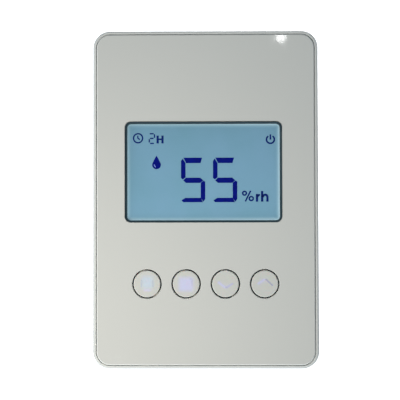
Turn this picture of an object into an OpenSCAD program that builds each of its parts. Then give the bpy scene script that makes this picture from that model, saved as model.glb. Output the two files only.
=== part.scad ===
// Wall-mounted humidity controller: a flat case with a glossy front panel, a display window and four
// round push keys, hung on a steel wall plate.
// The wall is the plane y = 0 and the front looks along -Y. A depth is a distance from the wall.

/* [Case] */
// Width of the case at its rim
case_w = 80; // [79:0.5:92]
// Height of the case at its rim
case_h = 120; // [118:0.5:136]
// Radius of the case's four corners
case_r = 6; // [5.5:0.25:8]
// Thickness of the front shell's side walls
front_wall = 1.9; // [1.6:0.1:2.2]
// Width of the rim round the front panel
rim_w = 1.1; // [0.9:0.1:1.4]
// Rounding of the rim's outer edge
rim_round = 0.8; // [0.4:0.1:0.9]
// How far the front shell narrows towards the seam, on each side
front_taper = 0.3; // [0.1:0.05:0.4]
// Depth of the seam between the two shells
seam_d = 8; // [7:0.25:8.5]
// Gap left open at the seam
seam_gap = 0.1; // [0.05:0.05:0.3]
// Step from the front shell in to the rear shell at the seam
seam_step = 0.3; // [0.1:0.05:0.5]
// How far the rear shell narrows towards the wall, on each side
rear_taper = 0.4; // [0.1:0.05:0.6]
// Height of the rear shell's lip inside the front shell
lip_h = 1.6; // [1:0.1:1.8]
// Thickness of the rear shell's lip
lip_t = 0.6; // [0.5:0.05:0.8]
// Clearance between the lip and the front shell
lip_gap = 0.1; // [0.05:0.05:0.2]
// Gap between the rear shell's edge and the wall
skirt_gap = 0.3; // [0.2:0.1:0.8]
// Thickness of the rear shell's back wall
rear_wall_t = 1.8; // [1.4:0.1:2.2]
// Room for parts between the back wall and the circuit board
back_room = 7.3; // [7.2:0.1:9]
// Thickness of the front shell's face plate
face_t = 1.8; // [1.4:0.1:2]
// Thickness of the stiffening ribs inside the shells
rib_t = 1.2; // [1:0.1:1.6]
// Height of the stiffening ribs
rib_h = 1.8; // [1:0.1:2]

/* [Vents] */
// Number of slots in a row of vents
vent_count = 9; // [5:1:11]
// Width of a vent slot
vent_w = 2.2; // [1.6:0.1:3]
// Length of a vent slot, front to back
vent_len = 5.6; // [4:0.2:6]
// Distance from one vent slot to the next
vent_pitch = 5; // [4:0.25:5.5]
// Depth of the middle of the vents
vent_d = 13.4; // [13:0.1:13.8]

/* [Front panel] */
// Thickness of the clear front panel
panel_t = 2; // [1.5:0.1:2.5]
// Gap between the panel and the rim
panel_gap = 0.2; // [0.1:0.05:0.3]
// How far the panel stands in front of the rim
panel_proud = 0.3; // [0.1:0.05:0.5]
// Bevel along the panel's front edge
panel_bevel = 0.35; // [0.1:0.05:0.5]
// Thickness of the printed film behind the panel
film_t = 0.2; // [0.1:0.05:0.3]
// How far the film stays inside the panel's edge
film_inset = 0.2; // [0.1:0.1:0.5]
// Thickness of the adhesive frame behind the film
tape_t = 0.3; // [0.2:0.05:0.3]
// Width of the adhesive frame
tape_w = 4; // [3:0.25:5]
// Bevel round each key hole in the panel
hole_bevel = 0.2; // [0.1:0.05:0.3]

/* [Display] */
// Width of the display window with its dark border
window_w = 56; // [52:0.5:57]
// Height of the display window with its dark border
window_h = 36; // [33:0.5:37]
// Corner radius of the window
window_r = 2.2; // [1.5:0.1:3]
// Height of the window's centre above the case's centre
window_z = 9.7; // [9:0.1:11]
// How far the printed window sits to the right of the middle
window_shift = -0.8; // [-1:0.1:1]
// Width of the dark border inside the window
border_w = 0.8; // [0.6:0.05:1]
// How far the front glass reaches past the window, on each side
glass_margin = 2; // [1.5:0.1:2.2]
// Thickness of each of the two glasses
glass_t = 1.1; // [0.9:0.05:1.2]
// How far the rear glass stands out below the front glass, for its pins
ledge_h = 3; // [2.6:0.1:3.2]
// Thickness of a polariser
polariser_t = 0.15; // [0.1:0.01:0.2]
// How far a polariser reaches past the window, on each side
polariser_margin = 1; // [0.6:0.1:1.2]
// Gap between the display and the film
display_air = 0.15; // [0.05:0.05:0.3]
// Gap round the glass in the face plate
glass_gap = 0.4; // [0.2:0.1:0.6]
// Number of pins along the ledge
pin_count = 24; // [12:1:24]
// Distance from one pin to the next
pin_pitch = 2.2; // [2:0.05:2.25]
// Width of a pin
pin_w = 0.5; // [0.4:0.05:0.6]
// Thickness of a pin
pin_t = 0.4; // [0.3:0.05:0.4]
// Thickness of a pin's finger on the ledge
finger_t = 0.25; // [0.2:0.05:0.3]

/* [Display light] */
// Thickness of the light guide
guide_t = 3.25; // [2.8:0.05:3.6]
// Thickness of the diffuser sheet
diffuser_t = 0.3; // [0.2:0.05:0.4]
// Thickness of the reflector sheet
reflector_t = 0.2; // [0.1:0.05:0.3]
// Thickness of the display holder's floor
holder_floor = 1.2; // [1:0.1:1.5]
// Thickness of the display holder's side walls
holder_wall = 1.6; // [1.2:0.1:1.8]
// Room for the lights on each side of the guide
led_room = 2; // [1.8:0.1:2.2]
// Gap between the sheets and the holder's walls
sheet_gap = 0.2; // [0.1:0.05:0.3]
// Diameter of the holder's pegs in the board
peg_d = 1.8; // [1.4:0.1:2]

/* [Keys] */
// Number of keys in the row
key_count = 4; // [4:1:4]
// Distance from one key to the next
key_pitch = 13.9; // [13.6:0.1:14.4]
// Height of the keys' centres, below the case's centre
key_drop = 30; // [29.5:0.1:30.5]
// Diameter of a key
key_d = 9.5; // [8.5:0.1:10]
// Gap round a key in the panel
key_gap = 0.45; // [0.3:0.05:0.5]
// How far a key stands in front of the panel
key_proud = 0.1; // [0:0.05:0.4]
// Rounding of a key's front edge
key_round = 0.35; // [0.2:0.05:0.5]
// Thickness of a key's top
key_top_t = 1.6; // [1.2:0.1:2]
// Thickness of a key's side wall
key_wall = 1; // [0.8:0.1:1.3]
// Travel of a key
key_travel = 0.5; // [0.3:0.05:0.55]
// How far a key's collar reaches past its hole
collar_w = 1; // [0.7:0.05:1.1]
// Thickness of a key's collar
collar_t = 0.8; // [0.6:0.05:0.85]
// Gap between the collar and the face plate
collar_gap = 0.1; // [0.05:0.05:0.2]
// Diameter of the stem that presses the switch
stem_d = 3.2; // [2.6:0.1:3.4]
// Width of the nib that keeps a key from turning
nib_w = 1.6; // [1.2:0.1:2]
// How far the nib stands out of the collar
nib_h = 0.7; // [0.5:0.05:0.9]
// Gap round the collar in the light shield
shield_gap = 0.3; // [0.2:0.05:0.35]
// Wall of the light shield round its bores
shield_wall = 1.8; // [1.6:0.1:2]

/* [Key switches] */
// Width of a key switch
switch_w = 6; // [5.6:0.1:6.2]
// Height of a key switch's body
switch_h = 3.5; // [3.3:0.05:3.55]
// Thickness of a key switch's metal cover
cover_t = 0.2; // [0.15:0.05:0.25]
// How far a plunger stands above its switch's body
plunger_rise = 0.8; // [0.75:0.05:0.9]
// Diameter of a plunger
plunger_d = 3.4; // [3:0.1:3.5]
// Diameter of the flange that keeps a plunger in
flange_d = 4.6; // [4.3:0.1:4.8]
// Diameter of the hollow inside a switch
switch_bore = 5; // [5:0.1:5.2]
// Thickness of a switch's floor
switch_floor = 0.7; // [0.5:0.05:0.8]
// Thickness of the snap dome
dome_t = 0.1; // [0.06:0.01:0.12]

/* [Circuit boards] */
// Thickness of the main board
board_t = 1.6; // [1.4:0.1:1.8]
// Gap between the main board and the shell's walls
board_gap = 0.6; // [0.3:0.1:1]
// Height of the chamber for the sensor below the main board
chamber_h = 16; // [15.5:0.1:16.5]
// Width of the sensor board
sensor_board_w = 16; // [14:0.5:24]
// Height of the sensor board
sensor_board_h = 10; // [9:0.25:10.5]
// Thickness of the sensor board
sensor_board_t = 1; // [0.8:0.1:1.2]
// Gap between the two boards
boards_gap = 3; // [2.8:0.1:3.2]
// Width of the humidity sensor
sensor_w = 2.5; // [2:0.1:3]
// Height of the humidity sensor
sensor_h = 0.9; // [0.7:0.05:1]
// Width of the cap over the sensor
cap_w = 5.4; // [5:0.1:6]
// Height of the cap over the sensor
cap_h = 1.9; // [1.7:0.1:2.2]

/* [Case screws] */
// Distance of the case screws from the case's edges
post_inset = 6.4; // [6.2:0.1:7]
// Diameter of the front shell's screw posts
post_d = 6.4; // [6:0.1:6.8]
// Diameter of the case screws' shanks
case_screw_d = 2.9; // [2.5:0.1:3]
// Diameter of the case screws' heads
case_head_d = 5.4; // [5:0.1:5.6]
// Height of the case screws' heads
case_head_h = 1.8; // [1.5:0.1:2]
// Length of the case screws below their heads
case_screw_len = 9.5; // [8:0.5:11]
// Thickness of the rear shell under a screw's head
seat_t = 1.6; // [1.2:0.1:1.8]
// Diameter of the board screws' shanks
board_screw_d = 2.1; // [1.8:0.1:2.2]
// Diameter of the board screws' heads
board_head_d = 4.4; // [4:0.1:4.6]
// Height of the board screws' heads
board_head_h = 1.6; // [1.2:0.1:1.8]
// Diameter of the bosses that carry the board
boss_d = 5.6; // [5:0.1:5.8]
// Distance of the board screws from the case's sides
boss_inset = 6; // [6:0.1:6.6]

/* [Wall plate] */
// How far the wall plate stays inside the case's sides
plate_side = 4; // [3.8:0.1:4.3]
// How far the wall plate stays inside the case's top and bottom
plate_end = 10; // [9.5:0.1:10.3]
// Thickness of the wall plate
plate_t = 1.2; // [1:0.1:1.4]
// Corner radius of the wall plate
plate_r = 4; // [2:0.5:6]
// Gap between the wall plate and the rear shell
plate_gap = 0.3; // [0.3:0.05:0.5]
// Width of the plate's opening for the wires
plate_open_w = 44; // [42:0.5:46]
// Height of the plate's opening for the wires
plate_open_h = 38; // [36:0.5:40]
// Distance between the side screws
side_spacing = 60; // [59.5:0.1:60.5]
// Distance between the upper and lower screws
tall_spacing = 83.3; // [82.5:0.1:84]
// Length of a screw slot from end to end
slot_len = 8; // [6:0.25:8.5]
// Width of a screw slot
slot_w = 4.4; // [4:0.1:4.6]
// Width of a hook
hook_w = 8; // [6:0.5:8.5]
// Height of a hook's lip
hook_lip = 4.2; // [3.6:0.1:4.4]
// Distance of the hooks' middle from the plate's sides
hook_inset = 9; // [8.6:0.1:9.4]
// Distance of the upper hooks from the plate's top
hook_drop = 12; // [11.5:0.25:13]
// Distance of the lower hooks from the plate's bottom
hook_raise = 20; // [19:0.25:21]
// Gap between a hook's lip and the rear shell
hook_gap = 0.3; // [0.3:0.05:0.4]
// Gap at each side of a hook
hook_side = 0.35; // [0.3:0.05:0.6]
// How far the case lifts off its hooks
lift = 5; // [5:0.1:5.4]

/* [Wiring] */
// Width of the wiring well
well_w = 36; // [32:0.5:36.5]
// Height of the wiring well
well_h = 30; // [28:0.5:31]
// Height of the well's centre above the case's centre
well_z = 4; // [3.5:0.25:5]
// Thickness of the well's walls
well_t = 1.2; // [1:0.1:1.4]
// Width of the pockets for the wall screws' heads
pocket_w = 12.6; // [12:0.1:13]
// Depth of the pockets in front of the rear shell's back
pocket_d = 2.9; // [2.7:0.1:3.1]
// Thickness of the pockets' walls
pocket_t = 1; // [0.8:0.1:1.1]

/* [Terminals] */
// Number of wire terminals
ways = 4; // [4:1:4]
// Distance from one terminal to the next
way_pitch = 5; // [4.9:0.05:5.4]
// Height of the terminal block, along the case
block_h = 8.2; // [8:0.1:9]
// Gap from the terminal block up to the wiring well's wall
block_gap = 3.6; // [3:0.1:4]
// Wall at the two ends and the foot of the terminal block
block_wall = 0.7; // [0.5:0.05:0.8]
// Width of a wire cage
cage_w = 3.6; // [3.4:0.05:3.8]
// Length of a wire cage, along the wire
cage_len = 4.6; // [4:0.1:4.8]
// Wall of a wire cage
cage_t = 0.6; // [0.5:0.05:0.65]
// Thickness of a wire cage's two plates
cage_plate = 0.8; // [0.7:0.05:0.9]
// Clearance round a cage in the block
cage_gap = 0.3; // [0.2:0.05:0.35]
// Width of a contact bar
bar_w = 1.8; // [1.5:0.05:1.9]
// Thickness of a contact bar
bar_t = 0.6; // [0.5:0.05:0.7]
// Room for a wire between the contact bar and the open cage
wire_room = 1.7; // [1.6:0.05:1.8]
// Travel of a cage
cage_travel = 1.5; // [1.2:0.05:1.55]
// Diameter of a terminal screw's shank
clamp_d = 2.4; // [2:0.05:2.5]
// Running clearance between the shank and the cage's thread, all round
clamp_gap = 0.1; // [0.05:0.01:0.12]
// Diameter of a terminal screw's head
clamp_head_d = 3.7; // [3.4:0.05:3.8]
// Height of a terminal screw's head
clamp_head_h = 1.4; // [1.2:0.05:1.5]
// Width of the screwdriver slots
driver_w = 0.6; // [0.5:0.05:0.8]

/* [Hidden] */
$fn = 48;

// A cut runs this far past the face it opens
past = 1;
// A rib or post is sunk this far into the wall that carries it
bite = 0.4;
// Clearance round a fixed pin or screw in its hole, all round
fixed_gap = 0.05;

// Depths from the wall to the front
rear_back = plate_t + plate_gap;
rear_front = rear_back + rear_wall_t;
board_back = rear_front + back_room;
board_front = board_back + board_t;
reflector_d = board_front + holder_floor;
guide_d = reflector_d + reflector_t;
diffuser_d = guide_d + guide_t;
rear_polariser_d = diffuser_d + diffuser_t;
rear_glass_d = rear_polariser_d + polariser_t;
front_glass_d = rear_glass_d + glass_t;
front_polariser_d = front_glass_d + glass_t;
film_d = front_polariser_d + polariser_t + display_air;
panel_d = film_d + film_t;
panel_front = panel_d + panel_t;
rim_front = panel_front - panel_proud;
face_front = film_d - tape_t;
face_back = face_front - face_t;

// Front panel and what lies behind it
panel_w = case_w - 2 * (rim_w + panel_gap);
panel_h = case_h - 2 * (rim_w + panel_gap);
panel_r = case_r - rim_w - panel_gap;
shell_in_w = case_w - 2 * front_wall;
shell_in_h = case_h - 2 * front_wall;

// Rear shell
rear_out_r = case_r - front_taper - seam_step;
rear_in_r = case_r - front_wall - lip_gap - lip_t;
rear_in_w = case_w - 2 * (case_r - rear_in_r);
rear_in_h = case_h - 2 * (case_r - rear_in_r);

// Screw posts and board bosses
post_x = case_w / 2 - post_inset;
post_z = case_h / 2 - post_inset;
post_end = rear_back + case_head_h + 0.7 + seat_t;
seat_d = post_end - seat_t;
post_boss_d = case_head_d + 2;
post_hole = 12;
board_w = shell_in_w - 2 * board_gap;
board_top = shell_in_h / 2 - board_gap;
board_low = -shell_in_h / 2 + chamber_h;
boss_x = case_w / 2 - boss_inset;
boss_top_z = board_top - 15.5;
boss_low_z = board_low + 5;
crystal_rise = 6;
processor_rise = 16;
board_screw_len = 5.8;

// Display
glass_w = window_w + 2 * glass_margin;
glass_h = window_h + 2 * glass_margin;
rear_glass_h = glass_h + ledge_h;
rear_glass_z = window_z - ledge_h / 2;
rear_glass_low = rear_glass_z - rear_glass_h / 2;
pin_reach = 2;
pin_play = 0.2;
pin_low = rear_glass_low - pin_play - pin_t;
opening_w = glass_w + 2 * glass_gap;
opening_top = window_z + glass_h / 2 + glass_gap;
opening_low = pin_low - 1;
holder_low = rear_glass_low + pin_play + 0.2;
holder_top = window_z + glass_h / 2 + holder_wall;
guide_w = window_w;
guide_h = window_h + 1;
holder_w = guide_w + 2 * (led_room + holder_wall);
led_w = 1.2;
led_h = 3;
led_d = 2;
led_places = [-10, 0, 10];
peg_x = holder_w / 2 - 2;
peg_z = [holder_low + 1.6, holder_top - 3];

// Keys
key_z = -key_drop;
key_hole_d = key_d + 2 * key_gap;
key_front = panel_front + key_proud;
collar_d = key_hole_d + 2 * collar_w;
collar_front = face_back - collar_gap;
collar_back = collar_front - collar_t;
switch_top = board_front + switch_h;
plunger_top = switch_top + plunger_rise;
plunger_bottom = board_front + switch_floor + dome_t + key_travel + 0.1;
flange_t = 0.8;
shield_bore = collar_d + 2 * shield_gap;
shield_w = (key_count - 1) * key_pitch + shield_bore + 2 * shield_wall;
shield_h = shield_bore + 2 * shield_wall;

// Wall plate, hooks and pockets
plate_w = case_w - 2 * plate_side;
plate_h = case_h - 2 * plate_end;
hook_x = plate_w / 2 - hook_inset;
hook_top_z = plate_h / 2 - hook_drop;
hook_low_z = -plate_h / 2 + hook_raise;
hook_t = plate_t;
lip_back = rear_front + hook_gap;
hook_front = lip_back + hook_t;
hook_slot_h = hook_t + lift + 0.5;
pocket_low = -slot_w / 2 - 2.3 - lift;
pocket_top = slot_w / 2 + 2.8;

// Terminals
block_w = ways * way_pitch + 0.4;
block_low = well_z + well_h / 2 - block_gap - block_h;
block_back = rear_back + 0.3;
shaft_w = cage_w + 2 * cage_gap;
shaft_low = block_low + block_wall;
shaft_top = block_low + block_h - 0.4;
cage_z = shaft_low + 0.5 + cage_len / 2;
cage_open_d = board_back - 0.5;
bar_d = cage_open_d - cage_plate - wire_room - bar_t;
cage_back = bar_d - 0.3 - cage_plate;
clamp_head_back = block_back + 0.4;
clamp_head_front = clamp_head_back + clamp_head_h;
clamp_tip = bar_d - 0.05;
shaft_back = clamp_head_front + 0.5;
leg_w = 0.9;
leg_t = 0.7;
leg_z = shaft_top - 0.1 - leg_t / 2;
leg_out = 0.9;

// Sensor
partition_z = board_low - 0.3 - rib_t / 2;
foam_back = board_back - 0.7;
foam_front = board_front + 1.7;
sensor_board_back = board_front - sensor_board_t;
sensor_board_z = board_low - boards_gap - sensor_board_h / 2;
sensor_post_x = sensor_board_w / 2 - 2;
header_pins = 4;
header_pitch = 2;
header_pin = 0.6;
header_w = header_pins * header_pitch + 2;
header_block_back = board_back + 1.2;

shell_colour = [0.87, 0.88, 0.86];
panel_colour = [0.76, 0.77, 0.75];
steel_colour = [0.70, 0.72, 0.74];
brass_colour = [0.80, 0.68, 0.38];
board_colour = [0.10, 0.36, 0.22];
black_colour = [0.12, 0.12, 0.13];
white_colour = [0.94, 0.94, 0.92];
glass_colour = [0.50, 0.62, 0.70];

function key_x(i) = (i - (key_count - 1) / 2) * key_pitch;
function way_x(i) = (i - (ways - 1) / 2) * way_pitch;
function pin_x(i) = (i - (pin_count - 1) / 2) * pin_pitch;
function header_x(i) = (i - (header_pins - 1) / 2) * header_pitch;

// Raises an outline drawn in (x, z) from a depth towards the room
module slab(from, thick) {
    translate([0, -from, 0]) rotate([90, 0, 0]) linear_extrude(thick) children();
}

// A round bar along the depth
module rod(x, z, from, to, d) {
    slab(from, to - from) translate([x, z]) circle(d = d);
}

// A rectangle given by its centre
module block_outline(x, z, w, h) {
    translate([x, z]) square([w, h], center = true);
}

// A rectangle given by its lower and upper edge, centred on x = 0
module band(w, low, top) {
    translate([-w / 2, low]) square([w, top - low]);
}

// A rectangle with round corners
module round_rect(w, h, r) {
    square([w - 2 * r, h], center = true);
    square([w, h - 2 * r], center = true);
    for (sx = [-1, 1], sz = [-1, 1])
        translate([sx * (w / 2 - r), sz * (h / 2 - r)]) circle(r = r);
}

// A slot with round ends, along x
module round_slot(len, w) {
    square([len - w, w], center = true);
    for (sx = [-1, 1])
        translate([sx * (len - w) / 2, 0]) circle(d = w);
}

// Carries a wall's section round a rectangle with round corners. The section's x is the distance from a
// corner's centre and its y is the depth.
module round_wall(w, h, r) {
    rotate([90, 0, 0])
        for (k = [0 : 3]) {
            reach = (k % 2 == 0 ? w : h) / 2 - r;
            half = (k % 2 == 0 ? h : w) / 2 - r;
            rotate([0, 0, 90 * k]) translate([reach, half, 0]) {
                rotate([90, 0, 0]) linear_extrude(2 * half) children();
                rotate_extrude(angle = 90) children();
            }
        }
}

// Turns a section of radius and depth round a line along the depth
module turned(x, z) {
    translate([x, 0, z]) rotate([90, 0, 0]) rotate_extrude() children();
}

module at_posts() {
    for (sx = [-1, 1], sz = [-1, 1])
        translate([sx * post_x, sz * post_z]) children();
}

module at_bosses() {
    for (sx = [-1, 1], z = [boss_low_z, boss_top_z])
        translate([sx * boss_x, z]) children();
}

module at_keys() {
    for (i = [0 : key_count - 1])
        translate([key_x(i), key_z]) children();
}

module at_hooks() {
    for (sx = [-1, 1], z = [hook_low_z, hook_top_z])
        translate([sx * hook_x, z]) children();
}

// A row of vent slots through the top (side 1) or bottom (side -1) wall
module vent_row(side) {
    cut = 2 * front_wall + 2 * past;
    translate([0, -vent_d, side * case_h / 2 - cut / 2])
        linear_extrude(cut)
            for (i = [0 : vent_count - 1])
                translate([(i - (vent_count - 1) / 2) * vent_pitch, 0])
                    rotate([0, 0, 90]) round_slot(vent_len, vent_w);
}

// Section of the front shell's side wall and rim
module front_wall_section() {
    inner = case_r - front_wall;
    full_d = rim_front - 4;
    lead = 0.15;
    polygon([
        [inner, seam_d + seam_gap],
        [case_r - front_taper, seam_d + seam_gap],
        [case_r, full_d],
        [case_r, rim_front - rim_round],
        [case_r - rim_round, rim_front - rim_round],
        [case_r - rim_round, rim_front],
        [case_r - rim_w + lead, rim_front],
        [case_r - rim_w, rim_front - lead],
        [case_r - rim_w, face_front],
        [inner, face_front]
    ]);
    // the outer quarter of the rim's rounding
    translate([case_r - rim_round, rim_front - rim_round])
        intersection() {
            circle(r = rim_round);
            square(rim_round);
        }
}

// Webs that tie the screw posts to the side walls
module post_webs() {
    web_back = board_back - 0.6;
    slab(web_back, face_back + bite - web_back)
        for (sx = [-1, 1], sz = [-1, 1]) {
            reach_x = shell_in_w / 2 + bite - post_x;
            reach_z = shell_in_h / 2 + bite - post_z;
            block_outline(sx * (post_x + reach_x / 2), sz * post_z, reach_x, rib_t);
            block_outline(sx * post_x, sz * (post_z + reach_z / 2), rib_t, reach_z);
        }
}

// Outline of the face plate, which ends inside the side walls
module face_outline() {
    round_rect(case_w - front_wall, case_h - front_wall, case_r - front_wall / 2);
}

module front_housing() color(shell_colour) {
    rib_back = face_back - rib_h;
    difference() {
        union() {
            round_wall(case_w, case_h, case_r) front_wall_section();
            slab(face_back, face_t) face_outline();
            slab(post_end, face_back + bite - post_end) at_posts() circle(d = post_d);
            post_webs();
            slab(board_front, face_back + bite - board_front) at_bosses() circle(d = boss_d);
            // stiffening ribs above the display and between the display and the keys
            slab(rib_back, rib_h + bite) {
                block_outline(0, holder_top + 3, shell_in_w + bite, rib_t);
                block_outline(0, (opening_low + key_z + shield_h / 2) / 2, shell_in_w + bite, rib_t);
            }
            // wall of the sensor chamber
            slab(foam_front, face_back + bite - foam_front)
                block_outline(0, partition_z, shell_in_w + bite, rib_t);
            // posts and pegs for the sensor board
            for (sx = [-1, 1]) {
                rod(sx * sensor_post_x, sensor_board_z, board_front, face_back + bite, 3);
                rod(sx * sensor_post_x, sensor_board_z, sensor_board_back - 0.5, face_back, 1.2);
            }
        }
        slab(face_back - past, face_t + 2 * past)
            band(opening_w, opening_low, opening_top);
        slab(face_back - past, face_t + 2 * past) at_keys() circle(d = key_hole_d);
        slab(post_end - past, post_hole + past) at_posts() circle(d = case_screw_d + 2 * fixed_gap);
        slab(board_front - past, board_screw_len - board_t + 2 * past - 0.6)
            at_bosses() circle(d = board_screw_d + 2 * fixed_gap);
        vent_row(1);
        vent_row(-1);
    }
}

// Section of the rear shell's side wall and lip
module rear_wall_section() {
    polygon([
        [rear_in_r, skirt_gap],
        [rear_out_r - rear_taper, skirt_gap],
        [rear_out_r, seam_d],
        [rear_in_r + lip_t, seam_d],
        [rear_in_r + lip_t, seam_d + lip_h],
        [rear_in_r, seam_d + lip_h]
    ]);
}

// Places the pockets for the wall screws' heads
module at_pockets() {
    for (sx = [-1, 1])
        translate([sx * side_spacing / 2, 0]) children();
    for (sz = [-1, 1])
        translate([0, sz * tall_spacing / 2]) children();
}

// Outline of a pocket with room for the screw's slot and the case's lift
module pocket_outline(grow) {
    low = pocket_low - grow - (slot_len - slot_w) / 2;
    top = pocket_top + grow + (slot_len - slot_w) / 2;
    band(pocket_w + 2 * grow, low, top);
}

module rear_housing() color(shell_colour) {
    rib_span = (rear_in_w + bite - well_w) / 2;
    rib_z = well_h / 2 - 2.5;
    difference() {
        union() {
            round_wall(case_w, case_h, case_r) rear_wall_section();
            slab(rear_back, rear_wall_t) round_rect(rear_in_w + 2 * bite, rear_in_h + 2 * bite, rear_in_r + bite);
            slab(rear_back + bite, post_end - rear_back - bite) at_posts() circle(d = post_boss_d);
            slab(rear_back + bite, pocket_d + pocket_t - bite) at_pockets() pocket_outline(pocket_t);
            // walls of the wiring well, up to the board
            slab(rear_back, board_back - 0.2 - rear_back)
                translate([0, well_z]) square([well_w + 2 * well_t, well_h + 2 * well_t], center = true);
            // wall of the sensor chamber
            slab(rear_back + bite, foam_back - rear_back - bite)
                block_outline(0, partition_z, rear_in_w + bite, rib_t);
            // stiffening ribs from the well to the sides
            slab(rear_back + bite, rear_wall_t + rib_h - bite)
                for (sx = [-1, 1], dz = [-1, 1])
                    block_outline(sx * (well_w / 2 + rib_span / 2), well_z + dz * rib_z, rib_span, rib_t);
        }
        slab(rear_back - past, board_back + 2 * past)
            translate([0, well_z]) square([well_w, well_h], center = true);
        slab(rear_back - past, pocket_d + past) at_pockets() pocket_outline(0);
        // hook slots: the upper edge rests on the hook's arm
        slab(rear_back - past, rear_wall_t + 2 * past)
            at_hooks() translate([-hook_w / 2 - hook_side, hook_t - hook_slot_h])
                square([hook_w + 2 * hook_side, hook_slot_h]);
        slab(rear_back - past, seat_d - rear_back + past) at_posts() circle(d = case_head_d + 0.4);
        slab(rear_back - past, post_end + past) at_posts() circle(d = case_screw_d + 0.4);
    }
}

module wall_plate() color(steel_colour) {
    slab(0, plate_t)
        difference() {
            round_rect(plate_w, plate_h, plate_r);
            translate([0, well_z]) square([plate_open_w, plate_open_h], center = true);
            for (sx = [-1, 1])
                translate([sx * side_spacing / 2, 0]) round_slot(slot_len, slot_w);
            for (sz = [-1, 1])
                translate([0, sz * tall_spacing / 2]) rotate(90) round_slot(slot_len, slot_w);
            // the windows that the hooks are bent out of
            at_hooks() translate([-hook_w / 2 - 0.3, hook_t])
                square([hook_w + 0.6, hook_lip + hook_front - plate_t]);
        }
    slab(plate_t - bite, hook_front - plate_t + bite)
        at_hooks() translate([-hook_w / 2, 0]) square([hook_w, hook_t]);
    slab(lip_back, hook_t)
        at_hooks() translate([-hook_w / 2, 0]) square([hook_w, hook_t + hook_lip]);
}

module front_panel() color(panel_colour) {
    edge_w = 1;
    difference() {
        union() {
            round_wall(panel_w, panel_h, panel_r)
                polygon([
                    [panel_r - edge_w, panel_d],
                    [panel_r, panel_d],
                    [panel_r, panel_front - panel_bevel],
                    [panel_r - panel_bevel, panel_front],
                    [panel_r - edge_w, panel_front]
                ]);
            slab(panel_d, panel_t)
                round_rect(panel_w - edge_w, panel_h - edge_w, panel_r - edge_w / 2);
        }
        slab(panel_d - past, panel_t + 2 * past) at_keys() circle(d = key_hole_d);
        for (i = [0 : key_count - 1])
            turned(key_x(i), key_z)
                polygon([
                    [0, panel_front - hole_bevel],
                    [key_hole_d / 2, panel_front - hole_bevel],
                    [key_hole_d / 2 + hole_bevel + past, panel_front + past],
                    [0, panel_front + past]
                ]);
    }
}

module panel_film() color(panel_colour)
    slab(film_d, film_t)
        difference() {
            round_rect(panel_w - 2 * film_inset, panel_h - 2 * film_inset, panel_r - film_inset);
            translate([window_shift, window_z])
                round_rect(window_w - 2 * border_w, window_h - 2 * border_w, window_r - border_w);
            at_keys() circle(d = key_hole_d + 0.3);
        }

module panel_tape() color(black_colour)
    slab(film_d - tape_t, tape_t) {
        out_w = panel_w - 4 * film_inset;
        out_h = panel_h - 4 * film_inset;
        difference() {
            round_rect(out_w, out_h, panel_r - 2 * film_inset);
            square([out_w - 2 * tape_w, out_h - 2 * tape_w], center = true);
        }
    }

// A screw from the back: a round head with a cross recess, and a plain shank
module back_screw(x, z, seat, head_d, head_h, shank_d, length) {
    recess = head_h / 2;
    difference() {
        turned(x, z)
            polygon([
                [0, seat - head_h],
                [head_d / 2 - 0.5, seat - head_h],
                [head_d / 2, seat - head_h + 0.5],
                [head_d / 2, seat],
                [shank_d / 2, seat],
                [shank_d / 2, seat + length - 0.6],
                [shank_d / 2 - 0.6, seat + length],
                [0, seat + length]
            ]);
        slab(seat - head_h - past, past + recess)
            for (turn = [0, 90])
                translate([x, z]) rotate(turn) square([head_d * 0.55, driver_w], center = true);
    }
}

module case_screws() color(steel_colour)
    for (sx = [-1, 1], sz = [-1, 1])
        back_screw(sx * post_x, sz * post_z, seat_d, case_head_d, case_head_h, case_screw_d, case_screw_len);

module board_screws() color(steel_colour)
    for (sx = [-1, 1], z = [boss_low_z, boss_top_z])
        back_screw(sx * boss_x, z, board_back, board_head_d, board_head_h, board_screw_d, board_screw_len);

module main_board() color(board_colour)
    slab(board_back, board_t)
        difference() {
            band(board_w, board_low, board_top);
            // the corners leave the screw posts free
            for (sx = [-1, 1])
                translate([sx * post_x, post_z]) mirror([sx < 0 ? 1 : 0, 0]) {
                    clear_r = post_d / 2 + board_gap;
                    circle(r = clear_r);
                    translate([-clear_r, 0]) square([clear_r + post_inset, post_inset]);
                    translate([0, -clear_r]) square([post_inset, clear_r + post_inset]);
                }
            at_bosses() circle(d = board_screw_d + 0.5);
            for (i = [0 : pin_count - 1])
                translate([pin_x(i), pin_low + pin_t / 2]) circle(d = 0.9);
            for (sx = [-1, 1], z = peg_z)
                translate([sx * peg_x, z]) circle(d = peg_d + 2 * fixed_gap);
            for (i = [0 : ways - 1])
                translate([way_x(i), leg_z]) circle(d = 1.3);
        }

module lcd_front_glass() color(glass_colour)
    slab(front_glass_d, glass_t) block_outline(0, window_z, glass_w, glass_h);

module lcd_rear_glass() color(glass_colour)
    slab(rear_glass_d, glass_t) block_outline(0, rear_glass_z, glass_w, rear_glass_h);

module polariser_outline() {
    block_outline(0, window_z, window_w + 2 * polariser_margin, guide_h);
}

module lcd_front_polariser() color(glass_colour)
    slab(front_polariser_d, polariser_t) polariser_outline();

module lcd_rear_polariser() color(white_colour)
    slab(rear_polariser_d, polariser_t) polariser_outline();

// Clip-on pins: a finger on the ledge, a leg through the board and a short foot under the ledge
module lcd_pins() color(steel_colour)
    for (i = [0 : pin_count - 1])
        translate([pin_x(i), 0, 0]) {
            leg_back = board_back - 0.8;
            slab(leg_back, front_glass_d + finger_t - leg_back)
                translate([-pin_w / 2, pin_low]) square([pin_w, pin_t]);
            slab(front_glass_d, finger_t)
                translate([-pin_w / 2, pin_low]) square([pin_w, pin_t + pin_play + pin_reach]);
            slab(rear_glass_d - finger_t, finger_t)
                translate([-pin_w / 2, pin_low]) square([pin_w, pin_t + pin_play + 0.1]);
        }

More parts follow.
